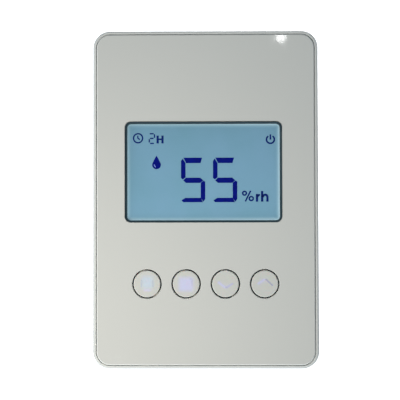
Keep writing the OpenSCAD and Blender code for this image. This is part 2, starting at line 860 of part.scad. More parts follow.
module lcd_holder() color(white_colour) {
    pocket_h = guide_h + 2 * sheet_gap;
    difference() {
        slab(board_front, rear_glass_d - board_front) band(holder_w, holder_low, holder_top);
        slab(reflector_d, rear_glass_d - reflector_d + past)
            block_outline(0, window_z, guide_w + 2 * led_room, pocket_h);
        slab(board_front - past, holder_floor + 2 * past)
            for (sx = [-1, 1], dz = led_places)
                block_outline(sx * (guide_w + led_room) / 2, window_z + dz, led_w + 0.4, led_h + 0.4);
        // room for the terminals' solder pins
        slab(board_front - past, holder_floor + 2 * past)
            block_outline(0, leg_z, block_w, leg_t + 2);
    }
    for (sx = [-1, 1], z = peg_z)
        rod(sx * peg_x, z, board_back - 0.4, board_front + bite, peg_d);
}

module light_guide() color([0.85, 0.92, 0.95])
    slab(guide_d, guide_t)
        difference() {
            block_outline(0, window_z, guide_w, guide_h);
            // small hollows that face the lights
            for (sx = [-1, 1], dz = led_places)
                translate([sx * guide_w / 2, window_z + dz]) circle(d = 1.2);
        }

module light_diffuser() color(white_colour)
    slab(diffuser_d, diffuser_t) block_outline(0, window_z, guide_w, guide_h);

module light_reflector() color([0.90, 0.91, 0.92])
    slab(reflector_d, reflector_t) block_outline(0, window_z, guide_w, guide_h);

module backlight_leds() color(white_colour)
    slab(board_front, led_d)
        for (sx = [-1, 1], dz = led_places)
            block_outline(sx * (guide_w + led_room) / 2, window_z + dz, led_w, led_h);

// Section of a key: stem, hollow underside, collar and rounded top
module key_section() {
    r = key_d / 2;
    polygon([
        [0, plunger_top],
        [stem_d / 2, plunger_top],
        [stem_d / 2, key_front - key_top_t],
        [r - key_wall, key_front - key_top_t],
        [r - key_wall, collar_back],
        [collar_d / 2, collar_back],
        [collar_d / 2, collar_front],
        [r, collar_front],
        [r, key_front - key_round],
        [r - key_round, key_front - key_round],
        [r - key_round, key_front],
        [0, key_front]
    ]);
    translate([r - key_round, key_front - key_round]) circle(r = key_round);
}

module key_cap(i) color(panel_colour) {
    turned(key_x(i), key_z) key_section();
    // nib that keeps the key upright in the shield's groove
    slab(collar_back, collar_t)
        translate([key_x(i) - nib_w / 2, key_z + collar_d / 2 - bite]) square([nib_w, bite + nib_h]);
}

module key_plunger(i) color(black_colour)
    turned(key_x(i), key_z)
        polygon([
            [0, plunger_bottom],
            [flange_d / 2, plunger_bottom],
            [flange_d / 2, plunger_bottom + flange_t],
            [plunger_d / 2, plunger_bottom + flange_t],
            [plunger_d / 2, plunger_top],
            [0, plunger_top]
        ]);

module switch_bodies() color(black_colour)
    for (i = [0 : key_count - 1])
        translate([key_x(i), 0, key_z]) {
            difference() {
                slab(board_front, switch_h) square(switch_w, center = true);
                slab(board_front + switch_floor, switch_h) circle(d = switch_bore);
            }
            // solder legs
            slab(board_front, 0.3)
                for (sx = [-1, 1], sz = [-1, 1])
                    block_outline(sx * (switch_w / 2 + 0.4), sz * 2.2, 0.8, 0.7);
        }

module switch_covers() color(steel_colour)
    slab(switch_top, cover_t)
        at_keys() difference() {
            square(switch_w, center = true);
            circle(d = plunger_d + 0.3);
        }

module switch_domes() color(steel_colour)
    slab(board_front + switch_floor, dome_t) at_keys() circle(d = switch_bore - 0.3);

module key_leds() color(white_colour)
    slab(board_front, 0.8)
        at_keys() for (sz = [-1, 1])
            block_outline(0, sz * (switch_w / 2 + 1.4), 2, 1.2);

module key_light_shield() color(black_colour)
    slab(board_front, face_back - 0.1 - board_front)
        difference() {
            block_outline(0, key_z, shield_w, shield_h);
            at_keys() {
                circle(d = shield_bore);
                block_outline(0, collar_d / 2, nib_w + 2 * shield_gap, 2 * (nib_h + shield_gap));
            }
        }

// A flat package on the board's back with legs on its four sides
module microcontroller() color(black_colour) {
    body = 7;
    legs = 12;
    leg_pitch = 0.5;
    place_z = board_low + processor_rise;
    slab(board_back - 1.5, 1.4) translate([0, place_z]) square(body, center = true);
    slab(board_back - 0.2, 0.2)
        for (side = [0 : 3], i = [0 : legs - 1])
            translate([0, place_z]) rotate(90 * side)
                translate([body / 2 + 0.3, (i - (legs - 1) / 2) * leg_pitch]) square([1.2, 0.22], center = true);
    slab(board_back - 0.3, 0.3)
        translate([0, place_z]) square(body - 1, center = true);
}

module crystal() color(steel_colour) {
    can_w = 11;
    can_len = 4.4;
    can_h = 3.4;
    slab(board_back - can_h, can_h)
        translate([0, board_low + crystal_rise]) round_rect(can_w, can_len, can_len / 2 - 0.1);
}

module voltage_regulator() color(black_colour) {
    from_side = 10.5;
    below_top = 6;
    place = [-board_w / 2 + from_side, well_z + well_h / 2 - below_top];
    body_w = 6.5;
    body_len = 3.5;
    body_h = 1.6;
    leg_len = 1.6;
    leg_row = body_len / 2 + leg_len / 2 - 0.15;
    slab(board_back - body_h, body_h) translate(place) square([body_w, body_len], center = true);
    slab(board_back - 0.3, 0.3) {
        for (i = [-1 : 1])
            translate(place + [i * 2.3, -leg_row]) square([0.8, leg_len], center = true);
        translate(place + [0, leg_row]) square([3.2, leg_len], center = true);
    }
}

// A wound coil in a square ferrite case
module inductor() color([0.30, 0.30, 0.32]) {
    place = [board_w / 2 - 11.5, board_low + 22];
    core_w = 7;
    core_h = 4;
    slab(board_back - core_h, core_h)
        translate(place) difference() {
            round_rect(core_w, core_w, 1.5);
            circle(d = 2);
        }
}

// Round cans on square feet
module capacitors() color(steel_colour) {
    can_d = 6.3;
    can_h = 5.2;
    foot_w = 6.6;
    foot_t = 0.8;
    row_z = board_top - 6.5;
    from_side = 17.5;
    can_pitch = 8;
    for (x = [from_side - board_w / 2, board_w / 2 - from_side - can_pitch, board_w / 2 - from_side]) {
        rod(x, row_z, board_back - can_h, board_back - foot_t + bite, can_d);
        slab(board_back - foot_t, foot_t) block_outline(x, row_z, foot_w, foot_w);
    }
}

module fuse() color(white_colour) {
    body_w = 2.7;
    body_len = 7.3;
    body_h = 2.6;
    from_side = 8.5;
    above_well = 3;
    slab(board_back - body_h, body_h)
        block_outline(board_w / 2 - from_side, well_z + well_h / 2 + above_well, body_w, body_len);
}

module surge_absorber() color([0.15, 0.30, 0.60]) {
    r = 3.8;
    body_h = 3.6;
    edge = 0.8;
    turned(-board_w / 2 + 9.5, board_low + 22)
        polygon([
            [0, board_back - body_h],
            [r - edge, board_back - body_h],
            [r, board_back - body_h + edge],
            [r, board_back - edge],
            [r - edge, board_back],
            [0, board_back]
        ]);
}

// Two relays that stand on low feet above the well
module relays() color(white_colour) {
    body_w = 14;
    body_len = 9;
    body_h = 4.9;
    stand_off = 0.3;
    foot_w = 15;
    foot_len = 7;
    place_x = 8.2;
    place_z = well_z + well_h / 2 + 9.8;
    for (sx = [-1, 1]) {
        slab(board_back - body_h, body_h - stand_off)
            block_outline(sx * place_x, place_z, body_w, body_len);
        slab(board_back - 2 * stand_off, 2 * stand_off)
            block_outline(sx * place_x, place_z, foot_w, foot_len);
    }
}

module buzzer() color(black_colour) {
    from_side = 19.5;
    x = -board_w / 2 + from_side;
    z = board_low + processor_rise - 1;
    body_d = 9;
    body_h = 4.2;
    port_d = 2;
    port_deep = 1.2;
    difference() {
        rod(x, z, board_back - body_h, board_back, body_d);
        rod(x, z, board_back - body_h - past, board_back - body_h + port_deep, port_d);
    }
}

// Small resistors and capacitors soldered in rows on the board's back
module chip_components() color([0.45, 0.38, 0.30]) {
    chip_w = 1.25;
    chip_len = 2;
    chip_h = 0.6;
    chip_pitch = 2.6;
    near_side = -board_w / 2 + 8;
    above_well = well_z + well_h / 2 + 7;
    beside_crystal = 8;
    slab(board_back - chip_h, chip_h) {
        for (i = [0 : 5], row = [0, 1])
            block_outline(near_side + i * 2.4, above_well - row * 4, chip_w, chip_len);
        for (i = [0 : 4], sx = [-1, 1])
            block_outline(sx * (beside_crystal + i * chip_pitch), board_low + crystal_rise, chip_w, chip_len);
        for (i = [0 : 4])
            block_outline(beside_crystal + 1 + i * chip_pitch, board_low + processor_rise - 1, chip_w, chip_len);
    }
}

module terminal_body() color([0.20, 0.45, 0.30])
    difference() {
        slab(block_back, board_back - block_back) band(block_w, block_low, block_low + block_h);
        for (i = [0 : ways - 1]) {
            // bore for the screw's head, and a smaller hole under it
            rod(way_x(i), cage_z, block_back - past, shaft_back - 0.3, clamp_head_d + 0.6);
            rod(way_x(i), cage_z, block_back, shaft_back + bite, clamp_d + 0.6);
            // shaft for the cage and the contact
            slab(shaft_back, board_back - shaft_back + past)
                translate([way_x(i) - shaft_w / 2, shaft_low]) square([shaft_w, shaft_top - shaft_low]);
            // mouth for the wire
            slab(bar_d + bar_t + 0.1, wire_room + 0.5)
                translate([way_x(i) - bar_w / 2 - 0.6, block_low - past])
                    square([bar_w + 1.2, block_wall + 2 * past]);
        }
    }

module terminal_contacts() color(brass_colour)
    for (i = [0 : ways - 1])
        translate([way_x(i), 0, 0]) {
            slab(bar_d, bar_t)
                translate([-bar_w / 2, shaft_low + 0.2])
                    square([bar_w, leg_z + leg_t / 2 - shaft_low - 0.2]);
            slab(bar_d, board_front + leg_out - bar_d) block_outline(0, leg_z, leg_w, leg_t);
        }

module terminal_screw(i) color(steel_colour)
    difference() {
        turned(way_x(i), cage_z)
            polygon([
                [0, clamp_head_back],
                [clamp_head_d / 2 - 0.3, clamp_head_back],
                [clamp_head_d / 2, clamp_head_back + 0.3],
                [clamp_head_d / 2, clamp_head_front],
                [clamp_d / 2, clamp_head_front],
                [clamp_d / 2, clamp_tip - 0.3],
                [clamp_d / 2 - 0.3, clamp_tip],
                [0, clamp_tip]
            ]);
        slab(clamp_head_back - past, past + clamp_head_h / 2)
            translate([way_x(i), cage_z]) square([clamp_head_d + past, driver_w], center = true);
    }

module terminal_cage(i) color(steel_colour)
    translate([way_x(i), 0, cage_z])
        difference() {
            slab(cage_back, cage_open_d - cage_back) square([cage_w, cage_len], center = true);
            slab(cage_back + cage_plate, cage_open_d - cage_back - 2 * cage_plate)
                square([cage_w - 2 * cage_t, cage_len + 2 * past], center = true);
            rod(0, 0, cage_back - past, cage_back + cage_plate + past / 4, clamp_d + 2 * clamp_gap);
        }

module sensor_board() color(board_colour)
    slab(sensor_board_back, sensor_board_t)
        difference() {
            block_outline(0, sensor_board_z, sensor_board_w, sensor_board_h);
            for (sx = [-1, 1])
                translate([sx * sensor_post_x, sensor_board_z]) circle(d = 1.5);
        }

module humidity_sensor() color(black_colour)
    slab(sensor_board_back - sensor_h, sensor_h) block_outline(0, sensor_board_z, sensor_w, sensor_w);

module sensor_filter_cap() color(white_colour)
    difference() {
        slab(sensor_board_back - cap_h, cap_h)
            translate([0, sensor_board_z]) round_rect(cap_w, cap_w, 1);
        slab(sensor_board_back - cap_h + 0.6, cap_h)
            block_outline(0, sensor_board_z, cap_w - 1.6, cap_w - 1.6);
    }

// Pins that reach from the sensor board on to the main board
module header_outline() {
    on_sensor = 1.5;
    on_main = 2;
    for (i = [0 : header_pins - 1])
        translate([header_x(i) - header_pin / 2, board_low - boards_gap - on_sensor])
            square([header_pin, on_sensor + boards_gap + on_main]);
}

module sensor_foam() color(black_colour)
    difference() {
        slab(foam_back, foam_front - foam_back)
            block_outline(0, partition_z, shell_in_w - 0.2, rib_t);
        slab(header_block_back - 0.1, foam_front)
            block_outline(0, partition_z, header_w + 0.2, rib_t + past);
    }

module sensor_header() color(brass_colour) {
    slab(board_front, header_pin) header_outline();
    slab(header_block_back, board_front + 1 - header_block_back)
        block_outline(0, partition_z, header_w, rib_t - 0.2);
}

wall_plate();
rear_housing();
front_housing();
front_panel();
panel_film();
panel_tape();
case_screws();
main_board();
board_screws();
lcd_front_glass();
lcd_rear_glass();
lcd_front_polariser();
lcd_rear_polariser();
lcd_pins();
lcd_holder();
light_guide();
light_diffuser();
light_reflector();
backlight_leds();
key_cap(0);  // key_cap_1
key_cap(1);  // key_cap_2
key_cap(2);  // key_cap_3
key_cap(3);  // key_cap_4
key_plunger(0);  // key_plunger_1
key_plunger(1);  // key_plunger_2
key_plunger(2);  // key_plunger_3
key_plunger(3);  // key_plunger_4
switch_bodies();
switch_covers();
switch_domes();
key_leds();
key_light_shield();
microcontroller();
crystal();
voltage_regulator();
inductor();
capacitors();
fuse();
surge_absorber();
relays();
buzzer();
chip_components();
terminal_body();
terminal_contacts();
terminal_screw(0);  // terminal_screw_1
terminal_screw(1);  // terminal_screw_2
terminal_screw(2);  // terminal_screw_3
terminal_screw(3);  // terminal_screw_4
terminal_cage(0);  // terminal_cage_1
terminal_cage(1);  // terminal_cage_2
terminal_cage(2);  // terminal_cage_3
terminal_cage(3);  // terminal_cage_4
sensor_board();
humidity_sensor();
sensor_filter_cap();
sensor_foam();
sensor_header();
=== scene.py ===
# %% [markdown]
# # A wall-mounted humidity controller
#
# The unit is a flat grey case that hangs on a steel plate on the wall. A glossy grey panel covers the
# front. It is clear in one place, the window over the display, and a printed film behind it draws the
# window's dark frame. Four round keys come through holes below the window.
#
# The case, the panel, the keys and everything inside come from the construction, so this lesson adds
# what a construction leaves out: the finish of each surface, the dark segments of the display, the faint
# lit marks on the keys, the small figures on the terminals and the light of the picture.
#
# All lengths are metres. The wall is the plane y = 0, the front looks along -Y and z points up. A depth
# is a distance from the wall, so a point at depth d has y = -d.

import math

import bpy
import numpy as np
from mathutils import Matrix, Vector


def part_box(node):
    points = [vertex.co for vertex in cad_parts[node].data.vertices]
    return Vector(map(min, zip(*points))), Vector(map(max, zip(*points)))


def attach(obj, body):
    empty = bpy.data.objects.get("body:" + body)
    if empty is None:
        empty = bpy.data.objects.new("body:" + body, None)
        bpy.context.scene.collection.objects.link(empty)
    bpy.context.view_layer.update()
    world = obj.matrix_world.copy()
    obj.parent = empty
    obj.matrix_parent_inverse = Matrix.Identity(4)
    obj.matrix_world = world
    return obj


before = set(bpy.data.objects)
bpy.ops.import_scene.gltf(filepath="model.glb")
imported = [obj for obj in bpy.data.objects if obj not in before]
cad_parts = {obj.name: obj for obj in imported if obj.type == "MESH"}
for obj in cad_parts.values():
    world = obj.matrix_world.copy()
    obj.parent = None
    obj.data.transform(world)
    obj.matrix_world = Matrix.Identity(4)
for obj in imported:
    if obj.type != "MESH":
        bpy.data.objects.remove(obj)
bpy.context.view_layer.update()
MM = 0.001

# %% [markdown]
# ## Tools for materials
#
# Every finish is built from nodes, in the object's own coordinates, so a grain of a tenth of a
# millimetre has that size wherever it is seen. The nodes could be set up one by one, but a small class
# keeps the calls short: it adds a node, sets its values and links what is given as a socket.

# %% Node tools


class Look:
    """A material under construction: its node tree and the coordinates of the object."""

    def __init__(self, name):
        self.mat = bpy.data.materials.new(name)
        self.mat.use_nodes = True
        self.nodes = self.mat.node_tree.nodes
        self.links = self.mat.node_tree.links
        self.nodes.clear()
        self.place = self.add("ShaderNodeTexCoord").outputs["Object"]
        self.facing = self.true_on_flats()

    def true_on_flats(self):
        """The smooth normal, but the face's own normal where that points straight along x, y or z. The
        construction's big flat faces then mirror as flat ones, and rounded edges stay smooth."""
        sides = self.add("ShaderNodeNewGeometry").outputs
        size = self.add("ShaderNodeVectorMath", {0: sides["True Normal"]}, operation="ABSOLUTE").outputs[0]
        x, y, z = self.parts(size)
        largest = self.sum("MAXIMUM", self.sum("MAXIMUM", x, y), z)
        flat = self.sum("GREATER_THAN", largest, 0.99995)
        both = self.add("ShaderNodeMix", {"Factor": flat, "A": sides["Normal"], "B": sides["True Normal"]},
                        data_type="VECTOR")
        return both.outputs["Result"]

    def add(self, kind, inputs=None, **settings):
        """Adds a node. A socket among the inputs is linked, anything else is set as a value."""
        node = self.nodes.new(kind)
        for key, value in settings.items():
            setattr(node, key, value)
        for key, value in (inputs or {}).items():
            if isinstance(value, bpy.types.NodeSocket):
                self.links.new(value, node.inputs[key])
            else:
                node.inputs[key].default_value = value
        return node

    def parts(self, vector):
        """The x, y and z of a vector."""
        return self.add("ShaderNodeSeparateXYZ", {0: vector}).outputs

    def noise(self, scale, detail=3.0, rough=0.55, place=None):
        """Cloudy noise from 0 to 1. The scale is in cells per metre."""
        return self.add("ShaderNodeTexNoise", {"Vector": place or self.place, "Scale": scale,
                                               "Detail": detail, "Roughness": rough}).outputs["Fac"]

    def cells(self, scale, feature="F1", place=None):
        """Distance to the nearest of scattered points: pores, grains and crystals."""
        return self.add("ShaderNodeTexVoronoi", {"Vector": place or self.place, "Scale": scale},
                        feature=feature).outputs["Distance"]

    def stretch(self, x, y, z):
        """The coordinates, stretched, so that a noise becomes brush lines."""
        return self.add("ShaderNodeMapping", {"Vector": self.place, "Scale": (x, y, z)}).outputs[0]

    def sum(self, operation, a, b=0.0, c=0.0, clamp=False):
        """One step of arithmetic."""
        node = self.add("ShaderNodeMath", {0: a, 1: b, 2: c}, operation=operation)
        node.use_clamp = clamp
        return node.outputs[0]

    def between(self, value, low, high, out_low, out_high):
        """Maps a value from one range to another, and stops at its ends."""
        return self.add("ShaderNodeMapRange", {"Value": value, "From Min": low, "From Max": high,
                                               "To Min": out_low, "To Max": out_high}).outputs[0]

    def blend(self, factor, a, b):
        """Mixes two colours."""
        node = self.add("ShaderNodeMix", {"Factor": factor, "A": a, "B": b}, data_type="RGBA")
        return node.outputs["Result"]

    def clear(self, tint):
        """A shader that lets light straight through, with a tint."""
        return self.add("ShaderNodeBsdfTransparent", {"Color": tint}).outputs[0]

    def mix(self, amount, first, second):
        """Mixes two shaders. An amount of 1 gives the second."""
        return self.add("ShaderNodeMixShader", {0: amount, 1: first, 2: second}).outputs[0]

    def bump(self, height, distance, strength=1.0, normal=None):
        """Tilts the surface by a height. The distance is the height's span in metres."""
        return self.add("ShaderNodeBump", {"Height": height, "Distance": distance, "Strength": strength,
                                           "Normal": normal or self.facing}).outputs["Normal"]

    def end(self, shader):
        """Links the finished shader and returns the material."""
        out = self.add("ShaderNodeOutputMaterial")
        self.links.new(shader, out.inputs["Surface"])
        return self.mat

    def solid(self, colour, rough, normal=None, **more):
        """An opaque surface."""
        inputs = {"Base Color": colour, "Roughness": rough, "Normal": normal or self.facing}
        inputs.update({key.replace("_", " "): value for key, value in more.items()})
        return self.add("ShaderNodeBsdfPrincipled", inputs).outputs[0]


def srgb(red, green, blue):
    """A colour read as 0 to 255 on a screen, as the light it stands for."""
    levels = np.array([red, green, blue]) / 255
    light = np.where(levels <= 0.04045, levels / 12.92, ((levels + 0.055) / 1.055) ** 2.4)
    return (*(float(v) for v in light), 1.0)


def shade(colour, factor):
    """The same colour, darker or lighter."""
    return (*(min(1.0, c * factor) for c in colour[:3]), 1.0)


# %% [markdown]
# ## Moulded plastics
#
# The front shell is polished ABS. A polished mould still leaves a very long, shallow wave in the skin,
# which shows as a slight unrest in its reflections, and handling leaves patches that are a little
# duller. The rear shell comes from a spark-eroded mould: its skin is a fine, even grain that hides sink
# marks and scratches. Both get their colour from the same light grey batch.
#
# The inner parts are plainer mouldings. Each still has its own grain and a small change of tone, because
# filled plastics never come out of the mould quite even.
#
# A photo of plastic could be wrapped round each part, but that takes seams and goes soft close up. Noise
# of the right size has neither fault, so every plastic here is worked out from noise.

# %% Plastics


def moulded(name, colour, rough, grain, depth, tone=0.06, **more):
    """Moulded plastic: an even grain of the given size in cells per metre, with cloudy tone and gloss."""
    look = Look(name)
    cloud = look.noise(90.0, 2.0)
    fine = look.noise(grain, 4.0, 0.6)
    cloud = look.between(cloud, 0.3, 0.7, 0.0, 1.0)
    tint = look.blend(cloud, shade(colour, 1 - tone), shade(colour, 1 + tone))
    gloss = look.between(look.noise(grain / 6, 2.0), 0.3, 0.7, rough * 0.85, rough * 1.15)
    return look.end(look.solid(tint, gloss, look.bump(fine, depth), **more))


def polished_shell(name, colour):
    """Polished ABS: a shallow wave 4 mm long, a finer one of 0.6 mm, and patches of wiped gloss."""
    look = Look(name)
    wave = look.noise(260.0, 1.0)
    skin = look.noise(1700.0, 2.0)
    normal = look.bump(skin, 1.2e-6, 1.0, look.bump(wave, 9e-6))
    wiped = look.noise(55.0, 5.0, 0.6)
    # hairline scratches run along the case
    hair = look.noise(1.0, 6.0, 0.7, look.stretch(2600.0, 2600.0, 60.0))
    scratched = look.between(hair, 0.62, 0.78, 0.16, 0.30)
    rough = look.sum("ADD", scratched, look.between(wiped, 0.4, 0.7, 0.0, 0.08))
    tint = look.blend(wiped, shade(colour, 0.97), shade(colour, 1.02))
    return look.end(look.solid(tint, rough, normal, IOR=1.53))


shell_grey = srgb(205, 206, 203)
front_shell = polished_shell("polished_abs", shell_grey)
rear_shell = moulded("eroded_abs", shell_grey, 0.55, 3200.0, 2.4e-5, 0.03)
plastics = {
    "white_plastic": moulded("white_pbt", srgb(226, 226, 220), 0.38, 1500.0, 6e-6),
    "black_plastic": moulded("black_nylon", srgb(30, 30, 33), 0.42, 2200.0, 1.2e-5, 0.2),
    "terminal_plastic": moulded("green_nylon", srgb(38, 112, 70), 0.32, 1200.0, 5e-6, 0.1),
    "foam": moulded("closed_cell_foam", srgb(38, 38, 42), 0.9, 1600.0, 1.6e-4, 0.3),
    "tape": moulded("foam_tape", srgb(24, 24, 26), 0.8, 2600.0, 6e-5, 0.3),
    "white_sheet": moulded("frosted_sheet", srgb(238, 240, 240), 0.5, 5200.0, 5e-6, 0.02),
}
print("plastics", len(plastics) + 2)

# %% [markdown]
# ## Metals
#
# The wall plate is cold-rolled steel with a bright zinc coat. The rolling leaves fine lines along the
# sheet, the zinc has a faint crystal pattern, and a clear passivation gives a slight blue and yellow
# cast. Screws are nickel-plated, pins are tinned, and the brass strip of the contacts keeps its drawing
# lines.
#
# The lines could be cut into the mesh or painted on. A noise that is stretched 45 times along z gives
# them at no cost, runs through every part alike and never repeats.

# %% Metals


def rolled(name, colour, other, rough, lines, crystals=0.0):
    """Sheet metal: lines along z, a cast between two colours, and crystals if their number of cells per
    metre is given."""
    look = Look(name)
    brush = look.noise(1.0, 5.0, 0.65, look.stretch(lines, lines, lines / 45))
    cast = look.noise(38.0, 2.0)
    height = brush
    if crystals:
        grains = look.cells(crystals)
        cast = look.sum("MULTIPLY_ADD", grains, 0.7, look.sum("MULTIPLY", cast, 0.4))
        height = look.sum("MULTIPLY_ADD", grains, 0.8, brush)
    tint = look.blend(look.between(cast, 0.2, 0.8, 0.0, 1.0), colour, other)
    gloss = look.between(brush, 0.3, 0.7, rough * 0.75, rough * 1.3)
    return look.end(look.solid(tint, gloss, look.bump(height, 2e-6), Metallic=1.0))


metals = {
    "plate_steel": rolled("zinc_plate", srgb(168, 173, 178), srgb(180, 179, 174), 0.26, 5200.0, 900.0),
    "screw_steel": rolled("nickel_plate", srgb(206, 203, 196), srgb(190, 190, 186), 0.22, 9000.0),
    "tinned_metal": rolled("tinned_bronze", srgb(206, 208, 208), srgb(186, 188, 190), 0.34, 8000.0),
    "brass_strip": rolled("drawn_brass", srgb(212, 176, 96), srgb(196, 156, 82), 0.26, 7600.0),
    "ferrite": moulded("pressed_ferrite", srgb(62, 62, 66), 0.6, 4200.0, 3e-5, 0.2, Metallic=0.35),
}
print("metals", len(metals))

# %% [markdown]
# ## Circuit board, lacquer and lights
#
# The board is glass fibre under a green solder mask. Copper tracks lie under the mask, so they show as
# slightly raised, lighter green lines with square corners, and here and there a round hole with a tinned
# ring joins the two sides. The lights are white housings with a drop of yellow phosphor.
#
# Copper is a thirtieth of a millimetre high, so modelled tracks would add thousands of faces for hardly
# any shape. A brick pattern with thin joints draws them instead, and its joints also raise the surface.

# %% Board


def solder_mask(name):
    """Green mask over copper: a grid of tracks 1.27 mm apart, broken up by blocks of plain copper."""
    look = Look(name)
    turned = look.add("ShaderNodeMapping", {"Vector": look.place,
                                            "Rotation": (math.pi / 2, 0.0, 0.0)}).outputs[0]
    tracks = look.add("ShaderNodeTexBrick", {
        "Vector": turned, "Scale": 1.0, "Mortar Size": 0.11 * MM, "Mortar Smooth": 0.1,
        "Brick Width": 8.9 * MM, "Row Height": 1.27 * MM, "Color1": (0, 0, 0, 1), "Color2": (0, 0, 0, 1),
        "Mortar": (1, 1, 1, 1)}, offset=0.37, squash=1.0).outputs["Color"]
    blocks = look.between(look.cells(110.0), 0.42, 0.46, 0.0, 1.0)
    pours = look.between(look.cells(75.0), 0.20, 0.17, 0.0, 0.8)
    copper = look.sum("MAXIMUM", look.sum("MULTIPLY", tracks, blocks), pours)
    holes = look.between(look.cells(260.0), 0.16, 0.14, 0.0, 1.0)
    tinned = look.sum("MULTIPLY", holes, look.between(look.noise(70.0), 0.55, 0.57, 0.0, 1.0))
    weave = look.noise(1.0, 2.0, 0.5, look.stretch(1500.0, 200.0, 1500.0))
    base = look.blend(look.between(weave, 0.35, 0.65, 0.0, 1.0), srgb(16, 74, 42), srgb(20, 84, 48))
    tint = look.blend(copper, base, srgb(44, 122, 72))
    tint = look.blend(tinned, tint, srgb(196, 196, 188))
    height = look.sum("MULTIPLY_ADD", tinned, 0.6, copper)
    gloss = look.between(weave, 0.3, 0.7, 0.24, 0.36)
    normal = look.bump(weave, 2e-6, 1.0, look.bump(height, 3.5e-5))
    return look.end(look.solid(tint, gloss, normal))


def phosphor(name):
    """A white housing whose face carries yellow phosphor in soft round drops."""
    look = Look(name)
    drops = look.between(look.cells(420.0), 0.30, 0.50, 1.0, 0.0)
    tint = look.blend(drops, srgb(236, 236, 228), srgb(232, 214, 120))
    return look.end(look.solid(tint, look.between(drops, 0.0, 1.0, 0.4, 0.18), look.bump(drops, 4e-5)))


def lacquer(name, colour):
    """A dipped coat of lacquer: glossy, with long runs and small bubbles."""
    look = Look(name)
    runs = look.noise(420.0, 2.0)
    tint = look.blend(runs, shade(colour, 0.8), shade(colour, 1.25))
    return look.end(look.solid(tint, look.between(runs, 0.3, 0.7, 0.12, 0.22), look.bump(runs, 6e-5)))


boards = {
    "board": solder_mask("solder_mask"),
    "led": phosphor("led_housing"),
    "blue_lacquer": lacquer("blue_lacquer", srgb(34, 84, 168)),
}
print("boards and lights", len(boards))

# %% [markdown]
# ## The front panel and its print
#
# The panel is moulded in two shots, 2 mm thick: glossy light grey plastic all over, and clear acrylic in
# the window. Clear acrylic lets almost all light through to the film behind it and mirrors a little of
# the room, more at a flat angle, which is Fresnel's law for a refractive index of 1.49. So the window
# mixes a clear and a mirroring shader by that law. A glass shader would also bend the light, but 2 mm of
# flat acrylic bends it less than the eye can see, and the display behind would lie in its shadow. A long
# wave in the sheet and a few fine wiping marks keep the mirror image from being perfect.
#
# The film behind carries a dark slate frame that shows through the clear part and hides the display's
# edge. It is drawn as the distance from a rectangle with round corners, as the film's cut-out is in the
# construction: the window is 56 mm by 36 mm with 2.2 mm corners, and sits 0.8 mm left of the middle. The
# same distance from the panel's own outline finds its polished bevel, which gets a painted highlight: a
# lighter grey.

# %% Outlines
# centre x and z, width, height and corner radius in millimetres
WINDOW = (-0.8, 9.7, 56.0, 36.0, 2.2)
DISPLAY_EDGE = (-0.8, 9.7, 56.0, 36.0, 2.0)
PANEL = (0.0, 0.0, 77.4, 117.4, 4.7)
# the film's dark frame is this wide, from the window's outline to the film's cut-out
BORDER = 0.8 * MM
print("window mm", WINDOW[2:4], "panel mm", PANEL[2:4])


def length(look, a, b):
    """The length of a flat vector from its two parts."""
    return look.sum("SQRT", look.sum("MULTIPLY_ADD", a, a, look.sum("MULTIPLY", b, b)))


def inside_outline(look, outline):
    """How far a point lies inside a rectangle with round corners: above 0 inside, below 0 outside. With
    the point's distance past the straight part of each side, the outline is where the length of the two
    equals the corner's radius."""
    middle_x, middle_z, width, height, corner = (value * MM for value in outline)
    x, _, z = look.parts(look.place)
    past = []
    for place, middle, size in ((x, middle_x, width), (z, middle_z, height)):
        from_middle = look.sum("ABSOLUTE", look.sum("SUBTRACT", place, middle))
        past.append(look.sum("SUBTRACT", from_middle, size / 2 - corner))
    reach = length(look, *(look.sum("MAXIMUM", part, 0.0) for part in past))
    inner = look.sum("MINIMUM", look.sum("MAXIMUM", *past), 0.0)
    return look.sum("SUBTRACT", corner, look.sum("ADD", reach, inner))


# %% Panel


def two_shot_panel(name, grey, tint, rough):
    """Glossy grey plastic outside the window's outline, and inside it clear acrylic: a clear shader and
    a mirroring one, mixed by Fresnel's law. Both share the wave of the sheet and its wiping marks."""
    look = Look(name)
    window = look.between(inside_outline(look, WINDOW), -0.02 * MM, 0.02 * MM, 0.0, 1.0)
    bevel_highlight = look.between(inside_outline(look, PANEL), 0.30 * MM, 0.45 * MM, 1.0, 0.0)
    wiped = look.noise(1.0, 5.0, 0.7, look.stretch(420.0, 420.0, 42.0))
    normal = look.bump(look.noise(34.0, 2.0), 6e-6)
    gloss = look.between(wiped, 0.45, 0.75, rough, rough + 0.06)
    speckle = look.noise(5200.0, 2.0)
    cloud = look.noise(26.0, 3.0)
    even = look.blend(speckle, shade(grey, 0.985), shade(grey, 1.015))
    colour = look.blend(look.between(cloud, 0.3, 0.7, 0.0, 0.3), even, shade(grey, 0.96))
    # painted highlight: a narrow band along the panel's outline, its polished bevel, is painted a lighter
    # grey
    colour = look.blend(bevel_highlight, colour, shade(grey, 1.22))
    solid = look.solid(colour, gloss, normal, IOR=1.49)
    clear = look.clear(tint)
    mirror = look.add("ShaderNodeBsdfGlossy", {"Roughness": gloss, "Normal": normal}).outputs[0]
    law = look.add("ShaderNodeFresnel", {"IOR": 1.49, "Normal": normal}).outputs[0]
    # only the side that faces the room mirrors
    behind = look.add("ShaderNodeNewGeometry").outputs["Backfacing"]
    amount = look.sum("MULTIPLY", law, look.sum("SUBTRACT", 1.0, behind), clamp=True)
    return look.end(look.mix(window, solid, look.mix(amount, clear, mirror)))


clear_panel = two_shot_panel("two_shot_panel", srgb(200, 200, 196), (0.985, 0.99, 0.985, 1.0), 0.03)
print("panel", clear_panel.name)

# %% Printed film


